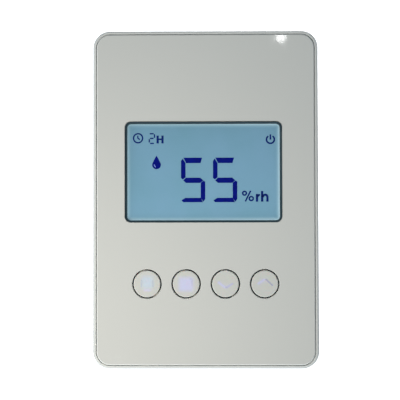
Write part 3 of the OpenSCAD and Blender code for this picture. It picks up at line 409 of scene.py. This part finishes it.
def printed_film(name, ink, frame_ink):
    """Grey ink with speckle and cloud, and the dark frame round the window with a slightly soft edge. The
    frame glows a little: painted light for the display's light through the ink, which also lifts the
    shade that the panel's edge casts on the frame."""
    look = Look(name)
    inside = inside_outline(look, WINDOW)
    frame_part = look.between(inside, -0.06 * MM, 0.05 * MM, 0.0, 1.0)
    speckle = look.noise(5200.0, 2.0)
    cloud = look.noise(26.0, 3.0)
    even = look.blend(speckle, shade(ink, 0.985), shade(ink, 1.015))
    grey = look.blend(look.between(cloud, 0.3, 0.7, 0.0, 0.35), even, shade(ink, 0.955))
    dark = look.blend(speckle, shade(frame_ink, 0.9), shade(frame_ink, 1.15))
    tint = look.blend(frame_part, grey, dark)
    # painted light: the frame glows, which lifts the shade that the panel's edge casts on it
    leak = look.sum("MULTIPLY", frame_part, 0.45)
    return look.end(look.solid(tint, look.between(speckle, 0.3, 0.7, 0.46, 0.60), look.bump(speckle, 1e-6),
                               Emission_Color=srgb(52, 74, 84), Emission_Strength=leak))


panel_print = printed_film("printed_film", srgb(196, 197, 192), srgb(41, 52, 58))
print("film", panel_print.name)

# %% [markdown]
# ## The display
#
# A positive liquid-crystal display is a glass cell between two polarisers. Its ground is the blue-grey
# of the light behind it, a little brighter along the edges, where the light guide leaks, and with the
# faint grid of the unlit electrodes. The glass itself is clear with a green edge. The rear polariser
# looks milky, and the light guide carries rows of fine white dots that throw the light forwards.
#
# Lamps could stand behind the glass as in the real one, but a render needs many samples to follow light
# through five thin layers. The ground glows by itself instead, with the same falloff from its edges.

# %% Display ground


def display_ground(name):
    """The ground of the display: blue-grey, brighter near the window's edge, with a very faint weave."""
    look = Look(name)
    inside = inside_outline(look, DISPLAY_EDGE)
    edge = look.between(inside, BORDER, BORDER + 1.7 * MM, 1.0, 0.0)
    edge = look.sum("POWER", edge, 2.0)
    cloud = look.noise(42.0, 3.0)
    fine = look.noise(2600.0, 1.0)
    ground = look.blend(look.between(cloud, 0.3, 0.7, 0.0, 1.0), srgb(106, 146, 166), srgb(114, 151, 176))
    ground = look.blend(look.between(fine, 0.3, 0.7, 0.0, 0.12), ground, srgb(96, 134, 156))
    x, _, z = look.parts(look.place)
    # the guide leaks more at its right edge
    leak = look.sum("MULTIPLY", edge, look.between(x, 0.0, 26 * MM, 0.75, 1.0))
    tint = look.blend(leak, ground, srgb(164, 192, 204))
    # painted light: the glow is a little stronger at the bottom, where it lifts the shade that the panel's
    # edge casts on the display, and a little weaker at the left
    low = look.between(z, -8 * MM, 26 * MM, 0.40, 0.26)
    low = look.sum("SUBTRACT", low, look.between(x, -28 * MM, -4 * MM, 0.04, 0.0))
    glow = look.sum("MULTIPLY_ADD", edge, look.between(x, 0.0, 26 * MM, 0.07, 0.20), low)
    return look.end(look.solid(tint, 0.32, look.bump(fine, 6e-7), Emission_Color=tint,
                               Emission_Strength=glow, Specular_IOR_Level=0.2))


display_front = display_ground("display_ground")
print("display ground", display_front.name)

# %% Glass and light guide


def glass(name, tint, rough):
    """Thin glass or clear sheet seen from the side: clear, with a tinted edge and small chips."""
    look = Look(name)
    chips = look.noise(2400.0, 4.0, 0.7)
    law = look.add("ShaderNodeFresnel", {"IOR": 1.52}).outputs[0]
    clear = look.clear(tint)
    skin = look.solid(tint, look.between(chips, 0.3, 0.7, rough, rough * 1.6), look.bump(chips, 4e-6))
    amount = look.sum("ADD", law, look.between(chips, 0.5, 0.8, 0.12, 0.3), clamp=True)
    return look.end(look.mix(amount, clear, skin))


def dotted_guide(name):
    """Clear acrylic with rows of white dots, 1.2 mm apart, that grow towards the middle."""
    look = Look(name)
    x, _, z = look.parts(look.place)
    pitch = 1.2 * MM
    near_x = look.sum("PINGPONG", x, pitch / 2)
    near_z = look.sum("PINGPONG", z, pitch / 2)
    reach = length(look, near_x, near_z)
    size = look.between(look.sum("ABSOLUTE", x), 0.0, 28 * MM, 0.34 * MM, 0.16 * MM)
    dots = look.between(look.sum("SUBTRACT", reach, size), -0.04 * MM, 0.04 * MM, 1.0, 0.0)
    clear = look.clear((0.93, 0.97, 0.96, 1.0))
    skin = look.solid(srgb(222, 232, 232), look.between(dots, 0.0, 1.0, 0.08, 0.7), look.bump(dots, 2e-5))
    amount = look.sum("MULTIPLY_ADD", dots, 0.6, 0.3, clamp=True)
    return look.end(look.mix(amount, clear, skin))


display = {
    "display_glass": glass("cell_glass", (0.86, 0.95, 0.91, 1.0), 0.05),
    "polariser": moulded("milky_polariser", srgb(176, 184, 186), 0.28, 3600.0, 2e-6, 0.03),
    "light_guide": dotted_guide("dotted_guide"),
}
print("display layers", len(display))

# %% [markdown]
# ## The keys
#
# Each key is a cap of the same grey as the panel, moulded from a tint that lets a little light through.
# The lights under the row shine through the marks on the caps' inner side, so each mark shows as a cool
# patch without an outline.
#
# A lamp behind each cap would be truer, but light through plastic stays noisy for long, so the patches
# are mixed into the cap's colour. A patch is a soft box: along x and along z it has the value 1 inside,
# and falls to 0 over a short way at its side, and the two are multiplied. A list gives every patch its
# centre from the key's middle, its half width and half height, its softness, its colour and its strength,
# with lengths in millimetres.

# %% Key material
KEY_PITCH, KEY_Z = 13.9, -30.0
KEY_FRONT = 22.1 * MM
KEY_GREY = srgb(200, 200, 195)
GLOWS = {
    1: [(0.10, 0.50, 1.90, 2.20, 1.7, srgb(196, 208, 222), 0.85),
        (0.10, -2.25, 1.20, 0.30, 1.0, srgb(205, 202, 233), 0.90)],
    2: [(-0.05, -0.10, 2.50, 2.45, 1.5, srgb(202, 202, 232), 0.90)],
    3: [(0.05, -0.80, 1.50, 0.60, 1.4, srgb(202, 202, 224), 0.50),
        (-2.10, 0.35, 0.70, 0.50, 1.1, srgb(202, 202, 226), 0.55)],
    4: [(-0.30, 1.10, 1.30, 0.60, 1.3, srgb(202, 201, 224), 0.50),
        (-1.90, 0.10, 0.80, 0.50, 1.1, srgb(202, 201, 224), 0.50)],
}


def key_centre(number):
    """Centre of a key in millimetres. The row of four lies about the middle of the case."""
    return (number - 2.5) * KEY_PITCH, KEY_Z


def lit_key(number):
    """Polished, slightly translucent plastic with the key's soft patches of light."""
    look = Look("lit_key_%d" % number)
    x, _, z = look.parts(look.place)
    speckle = look.noise(3800.0, 2.0)
    tint = look.blend(speckle, shade(KEY_GREY, 0.985), shade(KEY_GREY, 1.015))
    centre_x, centre_z = key_centre(number)
    for off_x, off_z, half_w, half_h, soft, colour, strength in GLOWS[number]:
        patch = strength
        for place, centre, half in ((x, centre_x + off_x, half_w), (z, centre_z + off_z, half_h)):
            past = look.sum("ABSOLUTE", look.sum("SUBTRACT", place, centre * MM))
            edge = look.between(past, (half - soft / 2) * MM, (half + soft / 2) * MM, 1.0, 0.0)
            patch = look.sum("MULTIPLY", edge, patch)
        tint = look.blend(patch, tint, colour)
    gloss = look.between(look.noise(160.0, 4.0, 0.6), 0.35, 0.7, 0.12, 0.24)
    normal = look.bump(look.noise(300.0, 1.0), 5e-6)
    return look.end(look.solid(tint, gloss, normal, Subsurface_Weight=0.04, Subsurface_Scale=0.0006))


key_looks = {number: lit_key(number) for number in GLOWS}
print("key materials", len(key_looks))

# %% [markdown]
# ## Finishes go to the construction's nodes
#
# The record says which finish each node has. The materials could be put on by hand, node by node, but
# then a new node would stay bare. So the script goes through the nodes once and puts the matching
# material in their slots. The front polariser carries the display's ground, and every key cap has its own
# light.

# %% Materials on the nodes
finishes = {"front_shell": front_shell, "rear_shell": rear_shell, "clear_panel": clear_panel,
            "panel_print": panel_print, "key_plastic": key_looks[1]}
for group in (plastics, metals, boards, display):
    finishes.update(group)
for name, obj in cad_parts.items():
    for place in obj.material_slots:
        place.material = finishes[place.material.name.split(".")[0]]
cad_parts["lcd_front_polariser"].material_slots[0].material = display_front
for number, material in key_looks.items():
    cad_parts["key_cap_%d" % number].material_slots[0].material = material
print("finished nodes", len(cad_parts))

# %% [markdown]
# ## Flat marks
#
# The dark segments of the display, the marks on the keys and the figures on the terminals are all flat
# shapes with a crisp outline. They could be patterns in a material, but a pattern's edge goes soft close
# up and gets lost when only the shapes are passed on, so they are thin plates.
#
# Two makers cover them. One raises a plate from an outline of corners. The other draws a line of even
# width along a path, with mitred corners, closed or open. Both work on a plane at a given depth and
# return points and faces, so many marks can be joined in one piece.

# %% Plates and lines


def raised_plate(corners, depth, thick):
    """A plate over a flat outline. The corners run counterclockwise as seen from the front, in
    millimetres. The front face has them in this order, the back face has them in reverse, and a wall
    joins each corner to the next."""
    flat = np.asarray(corners, dtype=float) * MM
    count = len(flat)
    front = np.column_stack([flat[:, 0], np.full(count, -depth - thick), flat[:, 1]])
    back = front + [0.0, thick, 0.0]
    here = np.arange(count)
    after = (here + 1) % count
    walls = np.column_stack([here, here + count, after + count, after])
    faces = [here.tolist(), (here[::-1] + count).tolist()] + walls.tolist()
    return np.vstack([front, back]), faces


def drawn_line(path, width, depth, thick, closed=False):
    """A line of even width along a path, in millimetres. At each point the two edges lie half a width to
    the left and right, along the sum of the neighbouring normals divided by one plus their product,
    which is the mitre. The section is a rectangle from the depth to the depth plus the thickness."""
    points = np.asarray(path, dtype=float)
    step = np.roll(points, -1, axis=0) - points
    if not closed:
        step[-1] = step[-2]
    side = np.column_stack([-step[:, 1], step[:, 0]]) / np.linalg.norm(step, axis=1)[:, None]
    before = np.roll(side, 1, axis=0)
    if not closed:
        before[0] = side[0]
    mitre = (side + before) / (1.0 + np.sum(side * before, axis=1))[:, None]
    left = (points + mitre * width / 2) * MM
    right = (points - mitre * width / 2) * MM
    count = len(points)
    flat = np.vstack([left, right])
    front = np.column_stack([flat[:, 0], np.full(2 * count, -depth - thick), flat[:, 1]])
    verts = np.vstack([front, front + [0.0, thick, 0.0]])
    here = np.arange(count if closed else count - 1)
    after = (here + 1) % count
    l0, l1, r0, r1 = here, after, here + count, after + count
    lower = 2 * count
    quads = [np.column_stack([l0, r0, r1, l1]),
             np.column_stack([l0 + lower, l1 + lower, r1 + lower, r0 + lower]),
             np.column_stack([l0, l1, l1 + lower, l0 + lower]),
             np.column_stack([r0, r0 + lower, r1 + lower, r1])]
    faces = np.vstack(quads).tolist()
    if not closed:
        end = count - 1
        faces.append([0, lower, count + lower, count])
        faces.append([end, end + count, end + count + lower, end + lower])
    return verts, faces


# %% Arcs and pieces


def arc(centre_x, centre_z, radius, start, stop, count=40):
    """Points on a circle from one angle to another, in degrees, counterclockwise from the right."""
    angle = np.radians(np.linspace(start, stop, count))
    return np.column_stack([centre_x + radius * np.cos(angle), centre_z + radius * np.sin(angle)])


def ring(centre_x, centre_z, radius, count=48):
    """A closed circle for a line to follow, without its first point twice."""
    return arc(centre_x, centre_z, radius, 0.0, 360.0 - 360.0 / count, count)


def moved(points, x, z):
    """The same points, moved."""
    return np.asarray(points, dtype=float) + [x, z]


def make_piece(name, parts, material, body):
    """Joins points and faces in one object that rides on a body, and prints its size."""
    faces, start = [], 0
    for points, cells in parts:
        faces += [np.add(cell, start).tolist() for cell in cells]
        start += len(points)
    verts = np.vstack([points for points, _ in parts])
    mesh = bpy.data.meshes.new(name)
    mesh.from_pydata(verts.tolist(), [], faces)
    mesh.materials.append(material)
    obj = bpy.data.objects.new(name, mesh)
    bpy.context.scene.collection.objects.link(obj)
    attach(obj, body)
    size = (verts.max(axis=0) - verts.min(axis=0)) / MM
    print(name, "points", len(verts), "size mm", np.round(size, 2).tolist())
    return obj


# %% [markdown]
# ## The display's segments
#
# Liquid crystal turns dark where it lies between two electrodes, so each segment has the crisp outline of
# an etched electrode, and neighbours are kept apart by a thin slanted gap. The big digit is 8.5 mm wide
# and 15.7 mm high, with segments about 1.7 mm wide whose ends are mitred. The corners below were measured
# on the first digit. The second one is the same, 11.4 mm further right.
#
# The real segments lie inside the cell. Here they lie on the front polariser, a hundredth of a millimetre
# thick, because the ground's glow is there too, and a segment behind it would be hidden.

# %% Segment ink
INK_DEPTH = 19.655 * MM
INK = 0.012 * MM


def segment_ink(name, colour):
    """Dark blue, almost flat in tone: a slight cloud, as the crystal is never evenly dark."""
    look = Look(name)
    cloud = look.noise(700.0, 3.0)
    tint = look.blend(look.between(cloud, 0.3, 0.7, 0.0, 1.0), shade(colour, 0.85), shade(colour, 1.15))
    return look.end(look.solid(tint, look.between(cloud, 0.3, 0.7, 0.3, 0.4), look.bump(cloud, 3e-7),
                               Specular_IOR_Level=0.1))


deep_blue = segment_ink("segment_deep_blue", srgb(0, 14, 122))
mark_blue = segment_ink("segment_mark_blue", srgb(10, 36, 112))
drop_light = segment_ink("segment_drop_light", srgb(120, 140, 214))
print("ink depth mm", round(INK_DEPTH / MM, 3), "thick mm", round(INK / MM, 3))

# %% Big figures
FIVE = [
    [(-6.95, 13.02), (-1.90, 13.02), (-1.36, 14.80), (-7.84, 14.80)],
    [(-8.73, 7.66), (-8.16, 7.21), (-7.27, 7.88), (-7.27, 12.90), (-8.22, 14.43), (-8.73, 13.69)],
    [(-7.00, 5.93), (-1.98, 5.93), (-0.98, 6.76), (-1.98, 7.65), (-7.00, 7.65), (-7.94, 6.78)],
    [(-1.70, 0.38), (-0.82, -0.69), (-0.24, 0.16), (-0.24, 6.23), (-0.69, 6.63), (-1.70, 5.85)],
    [(-8.02, -0.95), (-1.11, -0.95), (-1.88, 0.44), (-7.24, 0.44), (-8.53, -0.38)],
]
DIGIT_STEP = 11.42


def grown(corners, by):
    """Moves each corner so that all sides shift outwards by the same distance: along the sum of the two
    sides' outward normals, divided by one plus their product."""
    points = np.asarray(corners, dtype=float)
    step = np.roll(points, -1, axis=0) - points
    side = np.column_stack([step[:, 1], -step[:, 0]]) / np.linalg.norm(step, axis=1)[:, None]
    before = np.roll(side, 1, axis=0)
    return points + by * (side + before) / (1.0 + np.sum(side * before, axis=1))[:, None]


big = [raised_plate(moved(grown(corners, 0.08), step, 0.0), INK_DEPTH, INK)
       for step in (0.0, DIGIT_STEP) for corners in FIVE]
make_piece("display_reading", big, deep_blue, "controller")

# %% [markdown]
# The small marks are single lines on the real glass too: a clock, a thin figure, a letter, a power mark, a
# percent sign and two small letters. A font could draw the letters, but each has only two or three
# strokes, and lines of the measured width come closer to the etched shapes.

# %% Small marks


def ink_line(path, width, closed=False):
    """A line of segment ink."""
    return drawn_line(path, width, INK_DEPTH, INK, closed)


small = []
# the clock: a circle and two hands
small.append(ink_line(ring(-24.15, 21.90, 1.62), 0.52, closed=True))
small.append(ink_line([(-24.24, 22.85), (-24.24, 21.96), (-23.52, 21.36)], 0.46))
# the small seven-segment figure: thin bars that don't touch
for path in ([(-19.96, 23.50), (-18.56, 23.50)], [(-18.28, 23.32), (-18.28, 22.02)],
             [(-19.90, 21.82), (-18.60, 21.82)], [(-20.14, 21.56), (-20.14, 20.36)],
             [(-19.86, 20.04), (-18.50, 20.04)]):
    small.append(ink_line(path, 0.48))
# the letter beside it
for path, width in (([(-17.15, 22.84), (-17.15, 20.02)], 0.80), ([(-15.41, 22.84), (-15.41, 20.02)], 0.80),
                    ([(-16.80, 21.50), (-15.76, 21.50)], 0.60)):
    small.append(ink_line(path, width))
# the power mark: a ring open at the top and a bar
small.append(ink_line(arc(23.14, 21.34, 1.40, 122.0, 418.0), 0.58))
small.append(ink_line([(23.14, 23.14), (23.14, 21.26)], 0.58))
# the percent sign
small.append(ink_line(ring(13.84, 2.13, 0.66), 0.56, closed=True))
small.append(ink_line(ring(16.24, 0.23, 0.70), 0.56, closed=True))
small.append(ink_line([(16.04, 3.02), (14.12, -0.80)], 0.55))
# the two small letters
small.append(ink_line([(18.29, 1.86), (18.29, -0.90)], 0.84))
small.append(ink_line([(18.50, 0.95), *arc(19.22, 0.86, 0.66, 150.0, 78.0, 8)], 0.68))
small.append(ink_line([(20.12, 2.92), (20.12, -0.90)], 0.84))
small.append(ink_line([(20.36, 0.72), *arc(21.20, 0.78, 0.80, 150.0, 0.0, 16), (22.00, -0.90)], 0.80))
make_piece("display_marks", small, mark_blue, "controller")

# %% [markdown]
# The drop is a circle below and two straight flanks that meet in a point above. A straight line from the
# point touches a circle where the radius to the touching point is square to it, so the angle there
# follows from the circle's radius and the height of the point. A light crescent at the lower left makes
# it read as water.

# %% The drop
DROP_X, DROP_Z, DROP_R, DROP_TIP = -17.56, 12.36, 1.56, 15.66
touch = math.degrees(math.acos(DROP_R / (DROP_TIP - DROP_Z)))
# the flanks bulge a little, so two points on each lie just outside the straight line
belly = arc(DROP_X, DROP_Z, DROP_R, 90.0 + touch, 450.0 - touch, 44)
flank = (belly[-1] * 0.45 + np.array([DROP_X, DROP_TIP]) * 0.55) + [0.05, 0.0]
drop = np.vstack([belly, flank, [DROP_X, DROP_TIP], [2 * DROP_X - flank[0], flank[1]]])
make_piece("display_drop", [raised_plate(drop, INK_DEPTH, INK)], deep_blue, "controller")
outer = arc(DROP_X, DROP_Z, 0.98, 172.0, 252.0, 20)
inner = arc(DROP_X + 0.16, DROP_Z + 0.12, 0.80, 240.0, 176.0, 20)
make_piece("display_drop_light", [raised_plate(np.vstack([outer, inner]), INK_DEPTH + INK, 0.004 * MM)],
           drop_light, "controller")

# %% [markdown]
# ## The marks on the keys
#
# A few strokes of the marks are clearer than their glow: two upright bars on the first key, a small tick
# at the corner of the second, an arrow down on the third and an arrow up on the fourth. One arm of each
# arrow is darker, as the light stands to one side. The strokes are 10 thousandths of a millimetre thick
# and hardly darker than the plastic. They ride on their key's own body, so they go in with it.

# %% Key marks


def key_mark(name, colour):
    """A pale print with a slight cloud in its tone."""
    look = Look(name)
    cloud = look.noise(500.0, 3.0)
    tint = look.blend(look.between(cloud, 0.3, 0.7, 0.0, 1.0), shade(colour, 0.985), shade(colour, 1.015))
    return look.end(look.solid(tint, look.between(cloud, 0.3, 0.7, 0.2, 0.3), look.bump(cloud, 4e-7)))


pale = key_mark("mark_pale", srgb(200, 200, 226))
cool = key_mark("mark_cool", srgb(186, 194, 204))
deep = key_mark("mark_deep", srgb(190, 189, 214))
shadow = key_mark("mark_shadow", srgb(170, 171, 192))
MARK = 0.01 * MM


def on_key(number, path, width):
    """A line on a key's front, drawn about the key's centre."""
    return drawn_line(moved(path, *key_centre(number)), width, KEY_FRONT, MARK)


def key_piece(number, name, strokes, material):
    """One piece from strokes of a path and a width."""
    lines = [on_key(number, path, width) for path, width in strokes]
    return make_piece(name, lines, material, "key_%d" % number)


key_piece(1, "key_mark_1", [([(x, 1.40), (x, -1.10)], 0.55) for x in (-1.95, 2.10)], cool)
key_piece(2, "key_mark_2", [([(1.15, 1.75), (2.05, 1.75)], 0.50),
                            ([(2.05, 1.45), (2.05, -0.9)], 0.34)], deep)
key_piece(3, "key_mark_3", [([(-2.60, 0.62), (-0.02, -1.38)], 0.80)], pale)
key_piece(3, "key_mark_3_arm", [([(0.12, -1.46), (2.65, 0.18)], 0.70)], deep)
key_piece(4, "key_mark_4", [([(-2.35, 0.00), (0.05, 1.62)], 0.70)], pale)
key_piece(4, "key_mark_4_arm", [([(0.30, 1.66), (2.80, -0.66)], 0.50)], shadow)

# %% [markdown]
# ## Figures on the terminals
#
# The wire terminals face the wall, in the wiring well. An installer finds the right one by a plain figure
# moulded beside each screw. The figures are drawn as single lines with square corners, as a mould maker
# engraves them, and they read the right way round from behind, where x runs to the left.

# %% Terminal figures
FIGURES = {
    1: [[(-0.30, 0.55), (0.05, 0.85), (0.05, -0.85)]],
    2: [[(-0.50, 0.80), (0.50, 0.80), (0.50, 0.0), (-0.50, 0.0), (-0.50, -0.80), (0.50, -0.80)]],
    3: [[(-0.50, 0.80), (0.50, 0.80), (0.50, -0.80), (-0.50, -0.80)], [(-0.30, 0.0), (0.36, 0.0)]],
    4: [[(-0.45, 0.85), (-0.45, -0.10), (0.55, -0.10)], [(0.30, 0.85), (0.30, -0.85)]],
}
FIGURE_SIZE, FIGURE_LINE, FIGURE_RISE = 0.9, 0.24, 0.12 * MM
BELOW_TOP = 1.15
block_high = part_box("terminal_body")[1]
face = -block_high[1]
figure_z = block_high[2] / MM - BELOW_TOP
print("terminal block's back at depth mm", round(face / MM, 3), "figures at z mm", round(figure_z, 2))
for number, paths in FIGURES.items():
    screw_low, screw_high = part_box("terminal_screw_%d" % number)
    middle = (screw_low[0] + screw_high[0]) / 2 / MM
    # mirrored in x, because they are read from behind; the path runs backwards to keep faces outwards
    lines = [np.asarray(path)[::-1] * [-FIGURE_SIZE, FIGURE_SIZE] for path in paths]
    parts = [drawn_line(moved(line, middle, figure_z), FIGURE_LINE, face - FIGURE_RISE, FIGURE_RISE)
             for line in lines]
    make_piece("terminal_figure_%d" % number, parts, plastics["white_plastic"], "controller")

# %% [markdown]
# ## The picture's view
#
# The picture is taken from the front, a little below the middle and turned very slightly up, from 40 cm.
# These values came from fitting the corners of the window and the centres of the keys. The focal length
# is 1066 pixels on a picture 400 pixels wide, which is 96 mm on a sensor of 36 mm.

# %% Camera
YAW, PITCH, ROLL = 0.013, 0.028, 0.002
CAMERA_PLACE = (0.0029, -0.4, -0.0109)
FOCAL_PIXELS, PICTURE_PIXELS, SENSOR = 1066.4, 400.0, 36.0
look_at = Vector((-math.sin(YAW) * math.cos(PITCH), math.cos(YAW) * math.cos(PITCH), math.sin(PITCH)))
right = look_at.cross(Vector((0.0, 0.0, 1.0))).normalized()
up = right.cross(look_at)
right, up = right * math.cos(ROLL) - up * math.sin(ROLL), right * math.sin(ROLL) + up * math.cos(ROLL)
camera = bpy.data.objects.new("camera", bpy.data.cameras.new("camera"))
bpy.context.scene.collection.objects.link(camera)
turn = Matrix((right, up, -look_at)).transposed().to_4x4()
camera.matrix_world = Matrix.Translation(CAMERA_PLACE) @ turn
camera.data.sensor_width = SENSOR
camera.data.lens = FOCAL_PIXELS / PICTURE_PIXELS * SENSOR
camera.data.clip_start = 0.01
camera.data.clip_end = 50.0
bpy.context.scene.camera = camera
print("lens mm", round(camera.data.lens, 2))

# %% [markdown]
# ## The sweep
#
# The unit hangs free in front of a pale sweep: a floor that runs up into a wall in one curve. A floor and
# a wall that meet in a corner would be simpler, but the corner would show as a line. The sweep's section
# is a straight floor, a quarter circle and a straight wall. It glows a little, so the ground of the
# picture comes out white.

# %% Sweep


def sweep_surface(half_width, front, bend, radius, top, floor):
    """The section runs along y: flat floor from the front to the bend, then a quarter circle with the
    radius, then straight up. Every point of the section is repeated at both ends in x."""
    angle = np.radians(np.linspace(-90.0, 0.0, 24))
    y = np.concatenate([[front], bend + radius * np.cos(angle), [bend + radius]])
    z = np.concatenate([[floor], floor + radius + radius * np.sin(angle), [top]])
    count = len(y)
    verts = np.vstack([np.column_stack([np.full(count, x), y, z]) for x in (-half_width, half_width)])
    here = np.arange(count - 1)
    faces = np.column_stack([here, here + count, here + count + 1, here + 1])
    return verts, faces.tolist()


verts, faces = sweep_surface(half_width=5.0, front=-3.0, bend=1.6, radius=1.4, top=5.0, floor=-0.45)
mesh = bpy.data.meshes.new("sweep")
mesh.from_pydata(verts.tolist(), [], faces)
sweep = bpy.data.objects.new("sweep", mesh)
bpy.context.scene.collection.objects.link(sweep)


def sweep_paper(name, glow):
    """Matt white paper that glows a little, with a faint cloud in its tone."""
    look = Look(name)
    cloud = look.noise(12.0, 3.0)
    tint = look.blend(cloud, srgb(246, 246, 246), srgb(252, 252, 252))
    return look.end(look.solid(tint, 0.9, look.bump(cloud, 1e-4), Emission_Color=tint,
                               Emission_Strength=glow))


sweep.data.materials.append(sweep_paper("sweep_paper", 1.1))
# the sweep is a ground for the picture only, and its white doesn't light the case's edges
sweep.visible_diffuse = False
sweep.visible_glossy = False
print("sweep points", len(verts))

# %% [markdown]
# ## The room
#
# The room gives the soft light from all around. Walls and windows could be modelled for it, but only
# their brightness in each direction counts. So the room is a product of a few levels, and each level
# follows how closely a direction points towards a given one.
#
# The room is brighter at the lower left than at the upper right, and darker beside the unit. That gives
# the case's rim its darker outline. Straight in front it is dark, where the photographer stands, so the
# window's acrylic mirrors next to nothing and the segments stay deep blue. A camera ray that misses the
# sweep meets plain white, so every view has the same ground.

# %% Room
world = bpy.data.worlds.new("room")
bpy.context.scene.world = world
world.use_nodes = True
nodes, links = world.node_tree.nodes, world.node_tree.links
nodes.clear()
direction = nodes.new("ShaderNodeTexCoord").outputs["Generated"]


def room_level(towards, low, high, out_low, out_high):
    """Brightness that changes with how closely a direction points towards a given one."""
    dot = nodes.new("ShaderNodeVectorMath")
    dot.operation = "DOT_PRODUCT"
    links.new(direction, dot.inputs[0])
    dot.inputs[1].default_value = towards
    level = nodes.new("ShaderNodeMapRange")
    links.new(dot.outputs["Value"], level.inputs["Value"])
    for key, value in (("From Min", low), ("From Max", high), ("To Min", out_low), ("To Max", out_high)):
        level.inputs[key].default_value = value
    return level.outputs[0]


levels = [
    # brighter at the lower left than at the upper right
    room_level((-0.62, -0.10, -0.78), -1.0, 1.0, 0.12, 1.32),
    # dark straight in front and straight behind, where whoever looks at the unit stands
    room_level((0.0, -1.0, 0.0), 0.72, 0.96, 1.0, 0.12),
    room_level((0.0, 1.0, 0.0), 0.80, 0.97, 1.0, 0.55),
    # dark beside the unit, a little behind it
    room_level((0.87, 0.40, 0.29), 0.60, 0.95, 1.0, 0.20),
    room_level((-0.87, 0.42, 0.25), 0.55, 0.95, 1.0, 0.25),
]
brightness = levels[0]
for level in levels[1:]:
    product = nodes.new("ShaderNodeMath")
    product.operation = "MULTIPLY"
    links.new(brightness, product.inputs[0])
    links.new(level, product.inputs[1])
    brightness = product.outputs[0]
room_light = nodes.new("ShaderNodeBackground")
room_light.inputs["Color"].default_value = (0.87, 0.995, 1.09, 1.0)
links.new(brightness, room_light.inputs["Strength"])
paper_white = nodes.new("ShaderNodeBackground")
paper_white.inputs["Color"].default_value = (1.0, 1.0, 1.0, 1.0)
seen = nodes.new("ShaderNodeMixShader")
links.new(nodes.new("ShaderNodeLightPath").outputs["Is Camera Ray"], seen.inputs[0])
links.new(room_light.outputs[0], seen.inputs[1])
links.new(paper_white.outputs[0], seen.inputs[2])
links.new(seen.outputs[0], nodes.new("ShaderNodeOutputWorld").inputs["Surface"])
print("room levels", len(levels))

# %% [markdown]
# ## Lamps
#
# One warm lamp stands 20 cm away at the lower left, so its light falls off across the panel. A large lamp
# far away would light the panel evenly, which the photo doesn't show. The lamp's place was fitted to the
# photo's brightness: its light on a flat face goes with its height above the face over the cube of the
# distance. Two very small lamps make the bright spot at the top right and the dot at the lower left: each
# stands where the panel, taken as a mirror, shows it there.
#
# Three large soft lamps stand behind, above and beside the unit, all behind its front. They light the
# back, the top and the side for the other views, and the picture from the front hardly sees them.

# %% Lamps


def add_lamp(name, kind, place, target, power, size, colour):
    """A lamp at a place, turned to a target. A round area lamp or a small glowing ball."""
    data = bpy.data.lights.new(name, kind)
    data.energy = power
    data.color = colour
    if kind == "AREA":
        data.shape = "DISK"
        data.size = size
    else:
        data.shadow_soft_size = size
    lamp = bpy.data.objects.new(name, data)
    bpy.context.scene.collection.objects.link(lamp)
    lamp.location = place
    lamp.rotation_euler = (Vector(target) - Vector(place)).to_track_quat("-Z", "Y").to_euler()
    # the lamps stand near, so another view could look straight into one
    lamp.visible_camera = False
    return lamp


WHITE, SOFT, WARM = (1.0, 1.0, 1.0), (1.0, 0.98, 0.95), (1.0, 0.93, 0.82)
MIDDLE, FRONT = (0.0, 0.0, 0.0), (0.0, -0.02, 0.0)
near_fill = add_lamp("near_fill", "AREA", (-0.095, -0.205, -0.07), FRONT, 0.312, 0.04, WARM)
# the near lamp lights the panel but isn't mirrored in it
near_fill.visible_glossy = False
add_lamp("back_fill", "AREA", (0.22, 1.05, 0.34), MIDDLE, 5.0, 0.45, SOFT)
add_lamp("top_fill", "AREA", (0.12, 0.42, 0.95), MIDDLE, 3.0, 0.50, SOFT)
add_lamp("side_fill", "AREA", (0.85, 0.62, 0.15), MIDDLE, 2.2, 0.40, SOFT)
add_lamp("glint", "POINT", (0.0656, -0.627, 0.1672), MIDDLE, 0.016, 0.0045, WHITE)
add_lamp("low_glint", "POINT", (-0.0577, -0.322, -0.0925), MIDDLE, 0.0003, 0.0006, WHITE)
bpy.context.scene.view_settings.view_transform = "Standard"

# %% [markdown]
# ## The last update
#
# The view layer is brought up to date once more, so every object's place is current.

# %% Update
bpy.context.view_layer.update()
